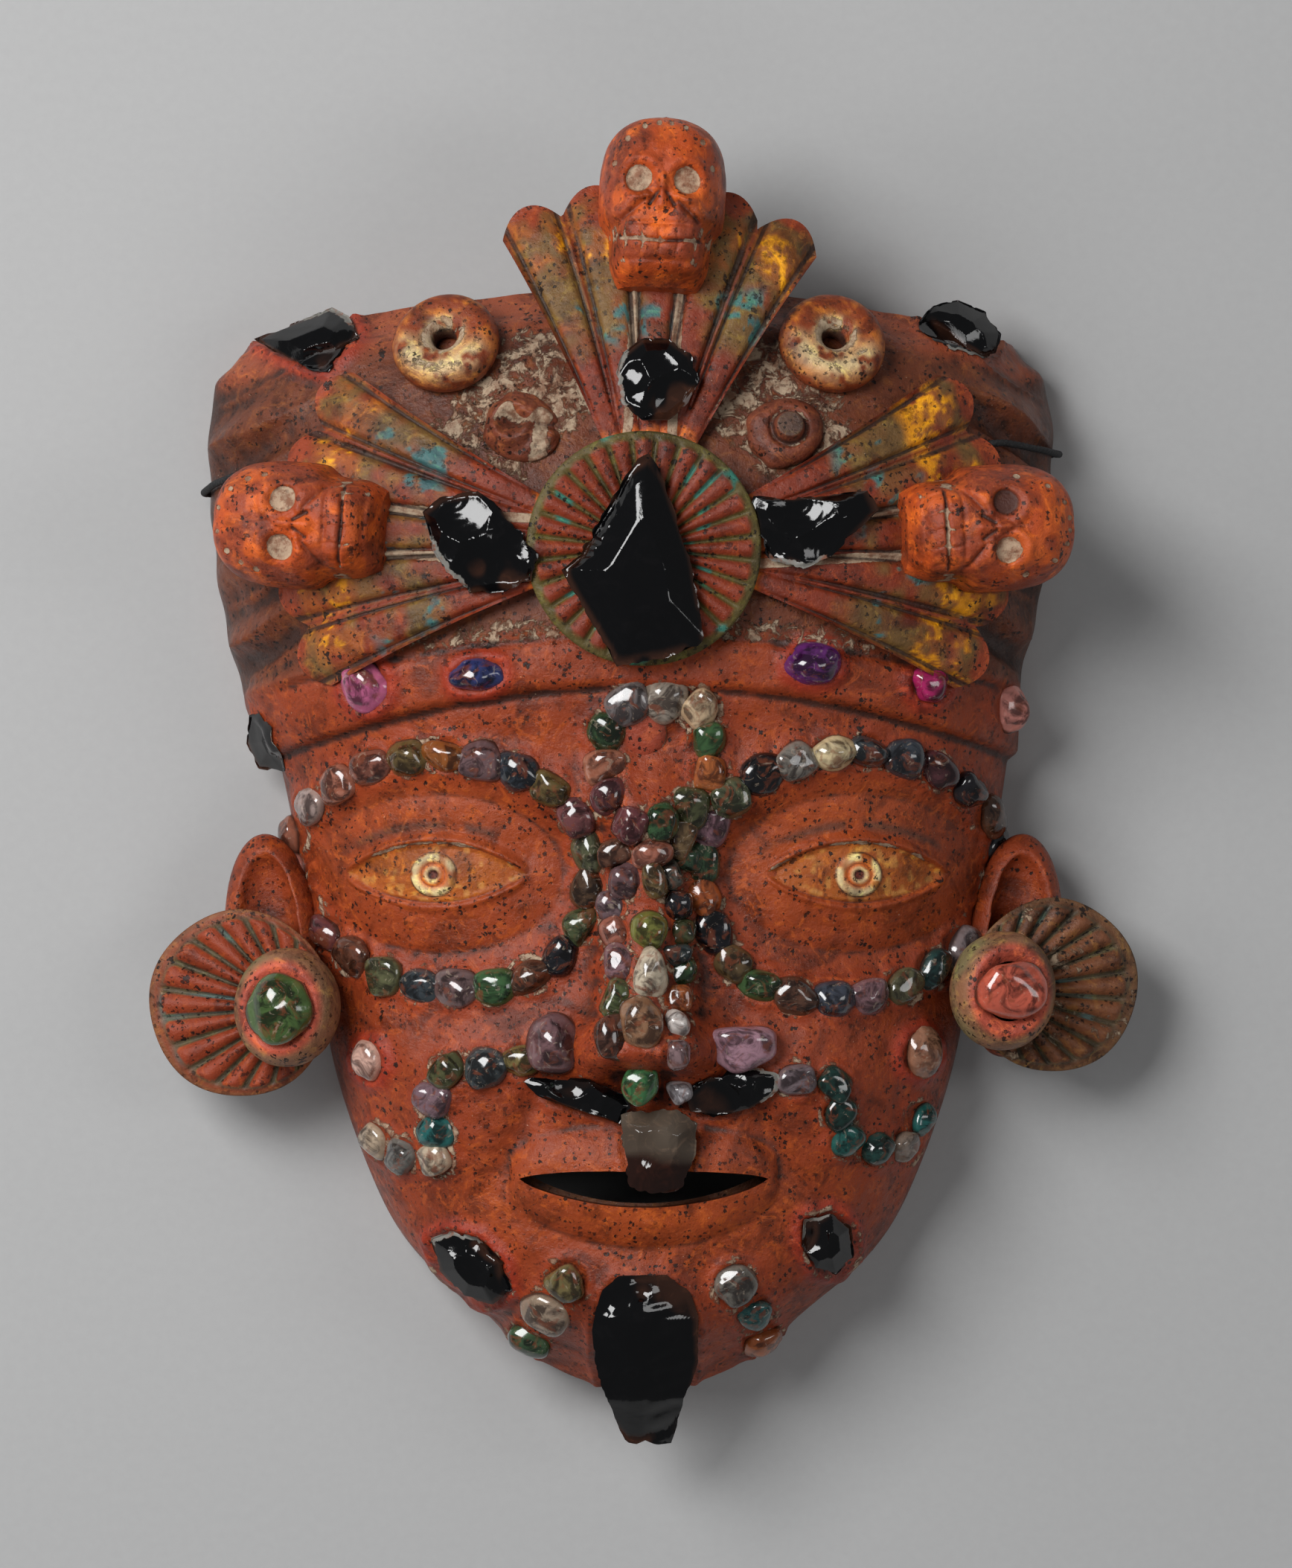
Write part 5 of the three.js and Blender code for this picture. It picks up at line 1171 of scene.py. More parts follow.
def make_bead(side):
    middle = (BEAD_RADIUS + BEAD_HOLE_RADIUS) / 2
    half = (BEAD_RADIUS - BEAD_HOLE_RADIUS) / 2

    def shape(share, angle):
        section = 2 * math.pi * share[:-1] + math.pi
        fuller = np.sign(np.cos(section)) * np.abs(np.cos(section)) ** 0.85
        radius = middle + half * fuller * (1 + 0.015 * np.sin(3 * angle + len(side)))
        rise = BEAD_THICKNESS / 2 * np.sin(-section)
        dished = rise - 0.5 * bell(radius, 9, 2.5) * (rise > 0)
        return radius * np.cos(angle), radius * np.sin(angle), dished

    local = polar(48, 96, shape)
    reach = np.hypot(local[..., 0], local[..., 1])
    top = step(-1, 3, local[..., 2])
    ring = bell(reach, BEAD_HOLE_RADIUS + 1.6, 1.8) * top
    around = np.arctan2(local[..., 1], local[..., 0])
    crescent = bell(reach, 11.0, 3.4) * step(-0.2, 0.7, np.cos(around + 1.7))
    worn = cloud(local, 4, 7) * 0.6 + cloud(local, 1.6, 8) * 0.4
    paint = mix(BEAD_BROWN, BEAD_OCHRE, step(0.5, 0.66, worn) * top * 0.7)
    pale = np.clip(ring + crescent * top, 0, 1) * step(0.36, 0.52, worn)
    paint = mix(paint, PAINT_CREAM, pale * 0.9)
    # Painted shade in the hole, and patchy grime elsewhere.
    grime = np.maximum(step(BEAD_HOLE_RADIUS + 1.2, BEAD_HOLE_RADIUS, reach), 0.4 * step(0.5, 0.3, worn))
    centre = on_clay(*BEADS[side], lift=BEAD_THICKNESS * 0.32)
    form = Form()
    form.grid(moved(local, centre), paint, pale * 0.5 + ring * 0.4, grime, wrap=True, closed=True)
    return form.piece(f"bead_{side}", PAINTED_FINISH, "terracotta", f"pierced_bead_{side}")


for bead_side in BEADS:
    make_bead(bead_side)


# The rosette behind the great point.
ROSETTE_RADIUS = 35
ROSETTE_FLUTES = 28
ROSETTE_THICKNESS = 4
ROSETTE_RINGS = 50
ROSETTE_Z = HEADDRESS_HEIGHT + 12


def fluted(share, angle, flutes, depth, start, stop):
    """The height of rounded flutes between two shares of the radius."""
    wave = np.abs(np.cos(flutes * angle / 2)) ** 0.7
    window = step(start, start + 0.1, share) * step(stop + 0.04, stop - 0.03, share)
    return depth * (wave - 0.62) * window, wave * window


def make_rosette():
    sides = ROSETTE_FLUTES * 12

    def shape(share, angle):
        reach = np.minimum(share / 0.9, 1)
        height, _ = fluted(reach, angle, ROSETTE_FLUTES, 2.2, 0.2, 0.93)
        drop = ROSETTE_THICKNESS * np.maximum(0, share - 0.9) / 0.1
        radius = ROSETTE_RADIUS * (reach - 0.03 * np.maximum(0, share - 0.9) / 0.1)
        z = height - drop - 0.9 * step(0.9, 1.0, reach) ** 2
        return radius * np.cos(angle), radius * np.sin(angle), z + 0 * angle

    local = polar(ROSETTE_RINGS, sides, shape)
    angle = np.arctan2(local[..., 1], local[..., 0])
    share = np.hypot(local[..., 0], local[..., 1]) / ROSETTE_RADIUS
    _, ridge = fluted(share, angle, ROSETTE_FLUTES, 1, 0.2, 0.93)
    paint = mix(ROSETTE_OLIVE, PAINT_RED, step(0.35, 0.7, ridge) * step(0.97, 0.93, share))
    bright = step(0.7, 0.78, cloud(local, 6, 14)) * step(0.6, 0.35, ridge)
    paint = mix(paint, ROSETTE_GREEN, bright * 0.8)
    local[..., 2] -= 1
    local += np.array([0, ROSETTE_Y, ROSETTE_Z])
    form = Form()
    # Painted shade in the valleys between the flutes.
    form.grid(local, paint, 0.05, np.clip(0.5 - ridge, 0, 1) * 0.35, wrap=True)
    return form.piece("rosette", PAINTED_FINISH, "painted_terracotta", "rosette_disc")


make_rosette()


# Ear discs, spools and ears.
def edge_at(y):
    return float(through(LEFT_HALF_WIDTHS, y))


DISCS = {
    "left": {"x": -edge_at(-66.5) - 24.5, "y": -66.5, "radius": 28.3, "hub_y": -67.5},
    "right": {"x": edge_at(-61) + 25.3, "y": -61, "radius": 26.3, "hub_y": -62.5},
}
DISCS["left"]["hub_x"] = -edge_at(-66.5) - 7.5
DISCS["right"]["hub_x"] = edge_at(-61) + 7.3
DISC_Z = 34
DISC_THICKNESS = 6
DISC_FLUTES = 18
DISC_RINGS = 60
DISC_SIDES = DISC_FLUTES * 12
DISC_RIM_SHARE = 0.86
DISC_TIP_DEG = 12
SPOOL_RADIUS = 17
SPOOL_HEIGHT = 20


def tipped(side, x, y):
    """The frame of an ear ornament, leaning outwards."""
    lean = math.radians(math.copysign(DISC_TIP_DEG, DISCS[side]["x"]))
    return Matrix.Translation((x, y, DISC_Z)) @ Matrix.Rotation(lean, 4, "Y")


def make_disc(side):
    disc = DISCS[side]
    hub = (disc["hub_x"] - disc["x"], disc["hub_y"] - disc["y"])

    def shape(share, angle):
        reach = np.minimum(share / DISC_RIM_SHARE, 1)
        over = np.maximum(0, share - DISC_RIM_SHARE) / 0.14
        height, _ = fluted(reach, angle, DISC_FLUTES, 3.0, 0.3, 0.9)
        rim = disc["radius"] * (1 + 0.01 * np.sin(5 * angle))
        x = lerp(hub[0], rim * np.cos(angle), reach)
        y = lerp(hub[1], rim * np.sin(angle), reach)
        shrink = 1 - 0.04 * over
        z = height - 1.6 * step(DISC_RIM_SHARE, 1, reach) - (DISC_THICKNESS - 1) * over
        return x * shrink, y * shrink, z

    local = polar(DISC_RINGS, DISC_SIDES, shape)
    share = np.minimum(np.linspace(0, 1, DISC_RINGS + 1)[:, None] / DISC_RIM_SHARE, 1)
    angle = np.linspace(0, 2 * math.pi, DISC_SIDES, endpoint=False)[None]
    _, ridge = fluted(share, angle, DISC_FLUTES, 1, 0.3, 0.9)
    valley = step(0.62, 0.4, ridge) * step(0.3, 0.45, share) * step(0.97, 0.88, share)
    rods = DISC_RED if side == "left" else DISC_BROWN
    paint = mix(rods, DISC_VALLEY, valley)
    patch = valley * step(0.62, 0.76, cloud(local, 10, 17))
    paint = mix(paint, DISC_TEAL, patch * 0.7)
    paint = mix(paint, DISC_RIM, step(0.93, 0.98, share) * 0.6 * np.ones_like(angle))
    pale = 0.4 * step(0.5, 0.72, cloud(local, 7, 19)) * (side == "right")
    form = Form()
    points = moved(local, tipped(side, disc["x"], disc["y"]))
    # Painted shade in the valleys between the flutes.
    form.grid(points, paint, pale, 0.15 * valley, wrap=True)
    back = points[-1:]
    middle = np.broadcast_to(back.mean(axis=1, keepdims=True), back.shape)
    form.grid(np.vstack([back, lerp(back, middle, 0.5), middle]), PAINT_RED, 0, 0.2, wrap=True)
    return form.piece(f"disc_{side}", PAINTED_FINISH, "terracotta", f"ear_disc_{side}")


SPOOL_PROFILE = [(0, 0.5), (0.12, 0.62), (0.24, 0.74), (0.4, 0.9), (0.6, 0.99), (0.8, 0.98), (1, 0.9)]
SPOOL_RISES = [(0, 0.93), (0.12, 0.99), (0.24, 1.0), (0.4, 0.86), (0.6, 0.6), (0.8, 0.3), (1, 0.06)]


def make_spool(side):
    disc = DISCS[side]

    def shape(share, angle):
        radius = SPOOL_RADIUS * through(SPOOL_PROFILE, share) * (1 + 0.02 * np.sin(2 * angle + 1))
        z = SPOOL_HEIGHT * through(SPOOL_RISES, share) + 0 * angle
        return 0.92 * radius * np.cos(angle), 1.08 * radius * np.sin(angle), z

    local = polar(44, 96, shape)
    share = np.linspace(0, 1, 45)[:, None] * np.ones((1, 96))
    wobble = cloud(local, 6, 23)
    local = local + (local - local.mean(axis=(0, 1))) * (wobble - 0.5)[..., None] * 0.02
    paint = mix(SPOOL_RED, SPOOL_BROWN, step(0.22, 0.36, share))
    green = step(0.4, 0.65, cloud(local, 12, 29)) * step(0.3, 0.5, share)
    paint = mix(paint, SPOOL_OLIVE, green * 0.8)
    form = Form()
    form.grid(moved(local, tipped(side, disc["hub_x"], disc["hub_y"])), paint, 0.05, 0.12, wrap=True)
    return form.piece(f"spool_{side}", PAINTED_FINISH, "terracotta", f"ear_spool_{side}")


EAR_HALF_WIDTH = 15
EAR_HALF_LENGTH = 34
EAR_HALF_DEPTH = 13
EAR_DROP = 22
EAR_SPLAY_DEG = 6
EAR_LEAN_DEG = 20


def make_ear(side):
    sign = math.copysign(1, DISCS[side]["x"])

    def shape(share, angle):
        polar_angle = math.pi * share
        x, y = np.sin(polar_angle) * np.cos(angle), np.sin(polar_angle) * np.sin(angle)
        z = np.cos(polar_angle) + 0 * angle
        x, y = EAR_HALF_WIDTH * x, EAR_HALF_LENGTH * y
        dish = np.maximum(0, 1 - ((x + sign * 2) / 9.5) ** 2 - ((y - 3) / 25) ** 2)
        return x, y, EAR_HALF_DEPTH * z - (z > 0) * 11 * dish**0.6

    local = polar(48, 96, shape)
    splay = Matrix.Rotation(math.radians(-sign * EAR_SPLAY_DEG), 4, "Z")
    tilt = splay @ Matrix.Rotation(math.radians(sign * EAR_LEAN_DEG), 4, "Y")
    y = EYE_Y - EAR_DROP
    place = Matrix.Translation((sign * (edge_at(y) + 11), y, DISC_Z - 15)) @ tilt
    bowl = np.clip(1 - np.hypot(local[..., 0] / 11, local[..., 1] / 27), 0, 1)
    # Painted shade in the bowl of the ear.
    grime = 0.8 * bowl * (local[..., 2] > -2)
    form = Form()
    form.grid(moved(local, place), CLAY, 0.1, grime, wrap=True)
    return form.piece(f"ear_{side}", CLAY_FINISH, "terracotta")


for ear_side in DISCS:
    make_disc(ear_side)
    make_spool(ear_side)
    make_ear(ear_side)


# Bosses of the headdress field, and the teardrop of the forehead.
def make_boss(name, x, y, turn, broken):
    def shape(share, angle):
        flat = 1 - 0.18 * step(0.55, 0.9, -np.cos(angle))
        radius = np.minimum(share / 0.8, 1) * flat
        rise = 4.6 * (1 - np.clip(share / 0.84, 0, 1) ** 5) - 5 * np.maximum(0, share - 0.8) / 0.2
        return 13 * radius * np.cos(angle), 10.5 * radius * np.sin(angle), rise + 0 * angle

    local = polar(44, 96, shape)
    px, py = local[..., 0], local[..., 1]
    knob = np.hypot(px - 2, py)
    if broken:
        along = px * math.cos(0.4) + py * math.sin(0.4)
        aside = -px * math.sin(0.4) + py * math.cos(0.4)
        loop = bell(np.hypot(along + 2, aside), 5.5, 2.2)
        cut = 2.6 * bell(aside, 1, 1.8) * step(-9, -3, along) * step(-3, 0, local[..., 2])
        local[..., 2] += 2.2 * loop - cut
        jagged = np.abs(cloud(local + 9, 4, 33) - 0.5) + 0.6 * np.abs(cloud(local + 9, 2, 34) - 0.5)
        local[..., 2] += (2.6 * jagged - 1) * step(-3, 1, local[..., 2])
        filled = np.maximum(bell(aside, 3.5, 3.4), bell(along, 7, 3))
        pale = step(0.34, 0.5, cloud(local, 5, 35)) * filled
    else:
        local[..., 2] += 3.0 * step(5, 3.8, knob) - 1.2 * bell(knob, 5.4, 0.9)
        pale = 0.5 * bell(knob, 5.6, 0.8)
    # Painted shade in the hollows of the boss.
    grime = np.clip(hollows(local[..., 2], 6, 0.4), 0, 1)
    paint = mix(BOSS_RED, BOSS_KNOB, step(4.4, 3.6, knob) * (not broken))
    form = Form()
    form.grid(moved(local, on_clay(x, y, turn_degrees=turn)), paint, pale, grime, wrap=True)
    return form.piece(name, CLAY_FINISH, "terracotta")


def make_teardrop():
    def shape(share, angle):
        narrow = 1 - 0.3 * step(0.2, -1, np.sin(angle))
        radius = np.minimum(share / 0.85, 1) * narrow * 1.05
        rise = 2.9 * (1 - np.clip(share, 0, 1) ** 4) - 0.6
        return 6.6 * radius * np.cos(angle), 9.8 * radius * np.sin(angle), rise + 0 * angle

    local = polar(24, 72, shape)
    share = np.linspace(0, 1, 25)[:, None] * np.ones((1, 72))
    form = Form()
    pale = step(0.72, 0.9, share) * 0.75
    form.grid(moved(local, on_clay(0, 14)), TEARDROP_RED, pale, 0.1, wrap=True)
    return form.piece("forehead_teardrop", CLAY_FINISH, "terracotta")


make_boss("boss_button", 41, 104, 25, False)
make_boss("boss_broken", -37, 106, -30, True)
make_teardrop()


# Feather fans.
FEATHERS = 5
FEATHER_PITCH_DEG = 11
FAN_INNER_RADIUS = 30
FAN_OUTER_RADIUS = 112
FAN_THICKNESS = 5.5
FAN_CLEARANCE = 2
FAN_RINGS = 84
FEATHER_COLUMNS = 24
FAN_FOOT_SPREAD = 0.86
# How fast the sheet under the feathers falls to the sides and to the crown.
FAN_SIDE_BOW = 0.0021
FAN_CROWN_BOW = 0.0017
AXES = {"top": 87, "left": 176, "right": 3.5}
YELLOW_SHARE = {"top": (0.7, 0.75), "left": (0.68, 0.74), "right": (0.52, 0.58)}
STRIP_OFFSET = 6.6
STRIP_HALF_WIDTH = 1.3


def clay_height(x, y):
    point, _ = surface(np.clip(x, -TEMPLE_HALF, TEMPLE_HALF), np.minimum(y, TOP_Y - 6))
    held = (np.abs(x) < TEMPLE_HALF) & (y < TOP_Y - 6)
    return np.where(held, point[..., 2], 0)


def fan_sheet_height(x, y):
    """The sheet that carries the feathers: it leaves the shell where the shell turns back."""
    free = HEADDRESS_HEIGHT + 4 - FAN_SIDE_BOW * x * x
    free = free - FAN_CROWN_BOW * np.maximum(0, y - ROSETTE_Y) ** 2
    return np.maximum(free, clay_height(x, y) + FAN_THICKNESS)


def fan_paint(points, radius, reach_x, in_feather, side):
    """Bands of worn paint from the red foot to the red tips."""
    worn = radius + 7 * (cloud(points, 9, 3) - 0.5) + 4 * (cloud(points, 3, 4) - 0.5)
    paint = mix(FEATHER_FOOT, PAINT_RED, step(36, 38, worn))
    olive = step(58, 68, worn) * step(0.25, 0.6, cloud(points, 13, 5) * 0.6 + cloud(points, 4, 6) * 0.4)
    paint = mix(paint, PAINT_OLIVE, olive * 0.85)
    spots = cloud(points, 7, 11) * 0.65 + cloud(points, 2, 12) * 0.35
    teal = step(60, 66, worn) * step(88, 80, worn) * step(0.6, 0.66, spots)
    paint = mix(paint, PAINT_TEAL, teal * 0.85)
    gold = step(84, 90, worn) * step(106, 102, worn)
    spots = cloud(points, 6, 15) * 0.6 + cloud(points, 1.8, 16) * 0.4
    paint = mix(paint, FEATHER_OCHRE, gold * step(0.36, 0.55, spots) * 0.7)
    paint = mix(paint, PAINT_YELLOW, gold * step(*YELLOW_SHARE[side], spots))
    paint = mix(paint, FEATHER_TIP, step(104, 107, worn))
    strip = step(STRIP_HALF_WIDTH + 0.4, STRIP_HALF_WIDTH, np.abs(np.abs(reach_x) - STRIP_OFFSET))
    strip = strip * step(82, 78, radius)
    shaft = bell(in_feather, 0, 0.05) + bell(in_feather, 1, 0.05)
    paint = mix(paint, FEATHER_SHAFT, np.clip(shaft, 0, 1) * 0.8)
    return paint, strip


def make_fan(side):
    axis = math.radians(AXES[side])
    columns = FEATHERS * FEATHER_COLUMNS
    i = np.arange(columns + 1)[None]
    along = (1 - (1 - np.arange(FAN_RINGS + 1) / FAN_RINGS) ** 1.15)[:, None]
    half_span = FEATHERS * FEATHER_PITCH_DEG / 2
    offset = lerp(half_span, -half_span, i / columns)
    feather = np.minimum(FEATHERS - 1, i // FEATHER_COLUMNS)
    in_feather = i / FEATHER_COLUMNS - feather
    middle = np.abs(feather - (FEATHERS - 1) / 2)
    tip = FAN_OUTER_RADIUS - 7 * (2 * in_feather - 1) ** 2 - 1.5 * middle
    radius = lerp(tip, FAN_INNER_RADIUS, along)
    spread = lerp(FAN_FOOT_SPREAD, 1, 1 - along)
    angle = axis + np.radians(offset * spread)
    x = radius * np.cos(angle)
    y = ROSETTE_Y + radius * np.sin(angle)
    ribs = 1.7 * (1 - np.abs(2 * in_feather - 1) ** 3)
    grown = step(FAN_INNER_RADIUS + 4, FAN_INNER_RADIUS + 30, radius)
    shaft = 1.5 * bell(np.abs(in_feather - 0.5), 0.5, 0.07) * grown * (feather % 2 == 0)
    groove = -1.6 * bell(np.abs(in_feather - 0.5), 0.4, 0.06) * grown
    curl = -3 * step(0.12, 0, along)
    height = (ribs + shaft + groove) * lerp(0.55, 1, grown) + curl
    base = fan_sheet_height(x, y)
    flat = np.stack([x, y, base], -1)
    height = height + 0.7 * (cloud(flat, 11, 8) - 0.5)
    top = base + np.maximum(height, -3.5)
    bottom = np.maximum(base - FAN_THICKNESS + curl, clay_height(x, y) + FAN_CLEARANCE)
    bottom = np.minimum(bottom, top - 1.5)
    front = np.stack([x, y, top], -1)
    under = np.stack([x, y, bottom], -1)
    reach_x = radius * np.sin(np.radians(offset) * spread)
    paint, strip = fan_paint(front, radius, reach_x, in_feather, side)
    # Painted shade in the grooves and hollows of the feathers.
    grime = np.clip(hollows(height, 5, 0.35), 0, 1) * 0.85
    pale = strip * 0.85 + 0.55 * bell(in_feather, 0.93, 0.06) * step(0.5, 0.7, cloud(front, 10, 6))
    form = Form()
    form.grid(front, paint, pale, grime)
    # The underside is brown clay with painted shade.
    form.grid(under, CLAY_BROWN, 0.05, 0.35, flip=True)
    for rim, rim_under, flip in side_walls(front, under):
        rounded = [rim, lerp(rim, rim_under, 0.5), rim_under]
        form.grid(np.stack(rounded), PAINT_RED, 0.1, 0.15, flip=flip)
    return form.piece(f"fan_{side}", PAINTED_FINISH, "painted_terracotta", f"feather_fan_{side}")


for fan_side in AXES:
    make_fan(fan_side)


# Skulls, all pressed in one mould and touched up by hand.
SKULL_LENGTH = 53
SKULL_WIDTH = 38
SKULL_HEIGHT = 25
SKULL_JAW_RADIUS = 77
SKULL_EYE_RADIUS = 4
# Of each skull: how far the eyes and the mouth lie from the jaw, for each was touched up by hand.
SKULL_LINES = {"top": (30, 11.5), "left": (26.4, 8.2), "right": (27, 8.6)}
SKULL_LEAN = 0.5
SKULL_EYE_X = 7.4
SKULL_ROWS = 170
SKULL_COLUMNS = 130
SKULL_PITS = 8
SKULL_OUTLINE = [
    (1, 0), (0.95, 0.52), (0.85, 0.85), (0.7, 0.98), (0.55, 1), (0.38, 0.97), (0.29, 0.82),
    (0.12, 0.77), (0, 0.64),
]
SKULL_CREST = [
    (1, 0.2), (0.94, 0.62), (0.86, 0.85), (0.7, 1), (0.5, 0.94), (0.3, 0.94), (0.12, 0.84),
    (0.04, 0.66), (0, 0.36),
]


def line(x, y, start, stop):
    """The distance of each point from a straight line between two points."""
    way = np.array(stop, float) - start
    share = np.clip(((x - start[0]) * way[0] + (y - start[1]) * way[1]) / (way @ way), 0, 1)
    return np.hypot(x - start[0] - share * way[0], y - start[1] - share * way[1])


def skull_local(side, seed):
    """The moulded face of a skull, from its jaw at 0: points, pale fill, painted shade with grime, and
    sockets.
    """
    eye_y, mouth_y = SKULL_LINES[side]
    share = 1 - (np.arange(SKULL_ROWS + 1) / SKULL_ROWS)[:, None] ** 1.15
    t = -1 + 2 * np.arange(SKULL_COLUMNS + 1)[None] / SKULL_COLUMNS
    u = np.sin(math.pi / 2 * t)
    half = SKULL_WIDTH / 2
    x = u * np.maximum(0, through(SKULL_OUTLINE, share)) * half
    y = share * SKULL_LENGTH + 0 * u
    z = through(SKULL_CREST, share) * SKULL_HEIGHT * np.sqrt(1 - np.abs(u) ** 3.4)
    beside = np.abs(x) + 0.25 * np.sin(seed * 7 + y / 5)
    z = z - 2 * bell(y, mouth_y + 4.5, 3) * step(0.62, 0.9, np.abs(u))
    socket = np.hypot(beside - SKULL_EYE_X, y - eye_y)
    z = z + 1.2 * bell(socket, SKULL_EYE_RADIUS + 2.0, 1.8)
    z = z - 1.3 * step(SKULL_EYE_RADIUS + 0.5, SKULL_EYE_RADIUS - 0.7, socket)
    bridge = line(beside, y, (0, eye_y + 2), (3.2, eye_y - 3.5))
    z = z - 0.9 * bell(bridge, 0.5, 0.8) * step(0.4, 1.6, beside)
    z = z + 1.7 * bell(line(beside, y, (0, eye_y), (0, eye_y - 8)), 0, 1.8)
    nostril = line(beside, y, (1.4, eye_y - 4), (3.6, eye_y - 7.5))
    z = z - 1.4 * bell(nostril, 0, 0.8)
    fold = line(beside, y, (5, eye_y - 6.5), (11, mouth_y + 6.5))
    groove = bell(fold, 0, 0.8)
    z = z - 1.2 * groove + 0.9 * bell(fold, 2.6, 1.8) * step(6, 12, beside)
    mouth = bell(y, mouth_y + 0.008 * x * x, 0.6) * step(12.5, 11.3, beside)
    bite = bell(y, mouth_y, 4.4) * step(12.8, 11.5, beside)
    teeth = np.abs(np.cos(math.pi * (x + 0.3 * np.sin(y)) / 5.2)) ** 26 * bite
    lip_edges = bell(y, mouth_y + 5.2, 0.8) + bell(y, mouth_y - 5.4, 0.8)
    lip_edges = lip_edges * step(13.5, 11, beside)
    z = z - 1.7 * mouth - 0.6 * teeth - 0.6 * lip_edges + 0.8 * bite
    pits = np.zeros_like(z)
    for k in range(SKULL_PITS):
        bend = math.radians(-72 + 144 * k / (SKULL_PITS - 1) + 7 * math.sin(seed * 3 + k))
        px, py = half * 0.8 * math.sin(bend), eye_y + (50 - eye_y) * math.cos(bend) * 0.92
        pits = np.maximum(pits, step(1.3, 0.7, np.hypot((x - px) * 1.2, (y - py) * 0.9)))
    points = np.stack([x + 0 * z, y, z], -1)
    uneven = 1.2 * (cloud(points, 7, seed) - 0.5) + 0.6 * (cloud(points, 2.5, seed + 9) - 0.5)
    z = np.maximum(z - 0.5 * pits + uneven, 0.8)
    points[..., 2] = z
    holes = step(SKULL_EYE_RADIUS + 0.3, SKULL_EYE_RADIUS - 0.5, socket)
    patchy = step(0.36, 0.56, cloud(points, 4.5, seed + 5))
    pale = np.maximum(holes * 0.95, pits * 0.8)
    pale = np.maximum(pale, (mouth + 0.7 * teeth + 0.5 * lip_edges * step(7, 11, beside)) * patchy)
    corner = bell(np.hypot(beside - 14, y - mouth_y - 3), 0, 3.4)
    corner = corner * step(0.3, 0.6, cloud(points, 3, seed + 6))
    pale = np.maximum(pale, 0.75 * corner)
    # Painted shade in the nostrils, the mouth line, the folds and the hollows.
    dark = bell(nostril, 0, 0.7) + mouth * (1 - patchy) + 0.4 * groove
    grime = np.clip(hollows(z, 7, 0.9) * 0.5 + dark, 0, 1) * (1 - holes)
    return points, pale, grime, holes


def skull_matrix(side, lean):
    """The frame of a skull: 1 leans it as the fan leans, and 0 turns it to the front."""
    axis = math.radians(AXES[side])

    def at(radius):
        x, y = radius * math.cos(axis), ROSETTE_Y + radius * math.sin(axis)
        return np.array([x, y, float(fan_sheet_height(np.array(x), np.array(y)))])

    jaw = at(SKULL_JAW_RADIUS)
    up = at(SKULL_JAW_RADIUS + SKULL_LENGTH * 0.8) - jaw
    up = unit(up * [1, 1, lean])
    right = np.array([math.sin(axis), -math.cos(axis), 0])
    out = unit(np.cross(right, up))
    m = np.eye(4)
    m[:3, 0], m[:3, 1], m[:3, 2], m[:3, 3] = right, up, out, jaw - 1.5 * out
    return m


def make_skull(side, seed):
    points, pale, grime, holes = skull_local(side, seed)
    place, foot = skull_matrix(side, SKULL_LEAN), skull_matrix(side, 1)
    paint = mix(SKULL_ORANGE, SKULL_SHADE, step(0.35, 0.65, cloud(points, 9, seed)))
    paint = mix(paint, SKULL_LIGHT, step(0.5, 0.7, cloud(points, 5, seed + 3)) * 0.7)
    if side == "right":
        dark_eye = holes * (points[..., 0] < 0)
        paint = mix(paint, SKULL_SOCKET, dark_eye)
        pale = pale * (1 - 0.92 * dark_eye)
    form = Form()
    front = moved(points, place)
    under = moved(points * [1, 1, 0], foot)
    form.grid(front, paint, pale, grime)
    # The underside is brown clay with painted shade.
    form.grid(under[::10, ::10], CLAY_BROWN, 0, 0.3, flip=True)
    # Painted shade on the sides: they take the orange darkened to 0.8, with more painted shade on top.
    for rim, rim_under, flip in side_walls(front, under):
        form.grid(np.stack([rim, rim_under]), SKULL_ORANGE * 0.8, 0.2, 0.3, flip=flip)
    return form.piece(f"death_head_{side}", PAINTED_FINISH, "terracotta", f"skull_{side}")


for skull_seed, skull_side in enumerate(AXES):
    make_skull(skull_side, skull_seed + 2)


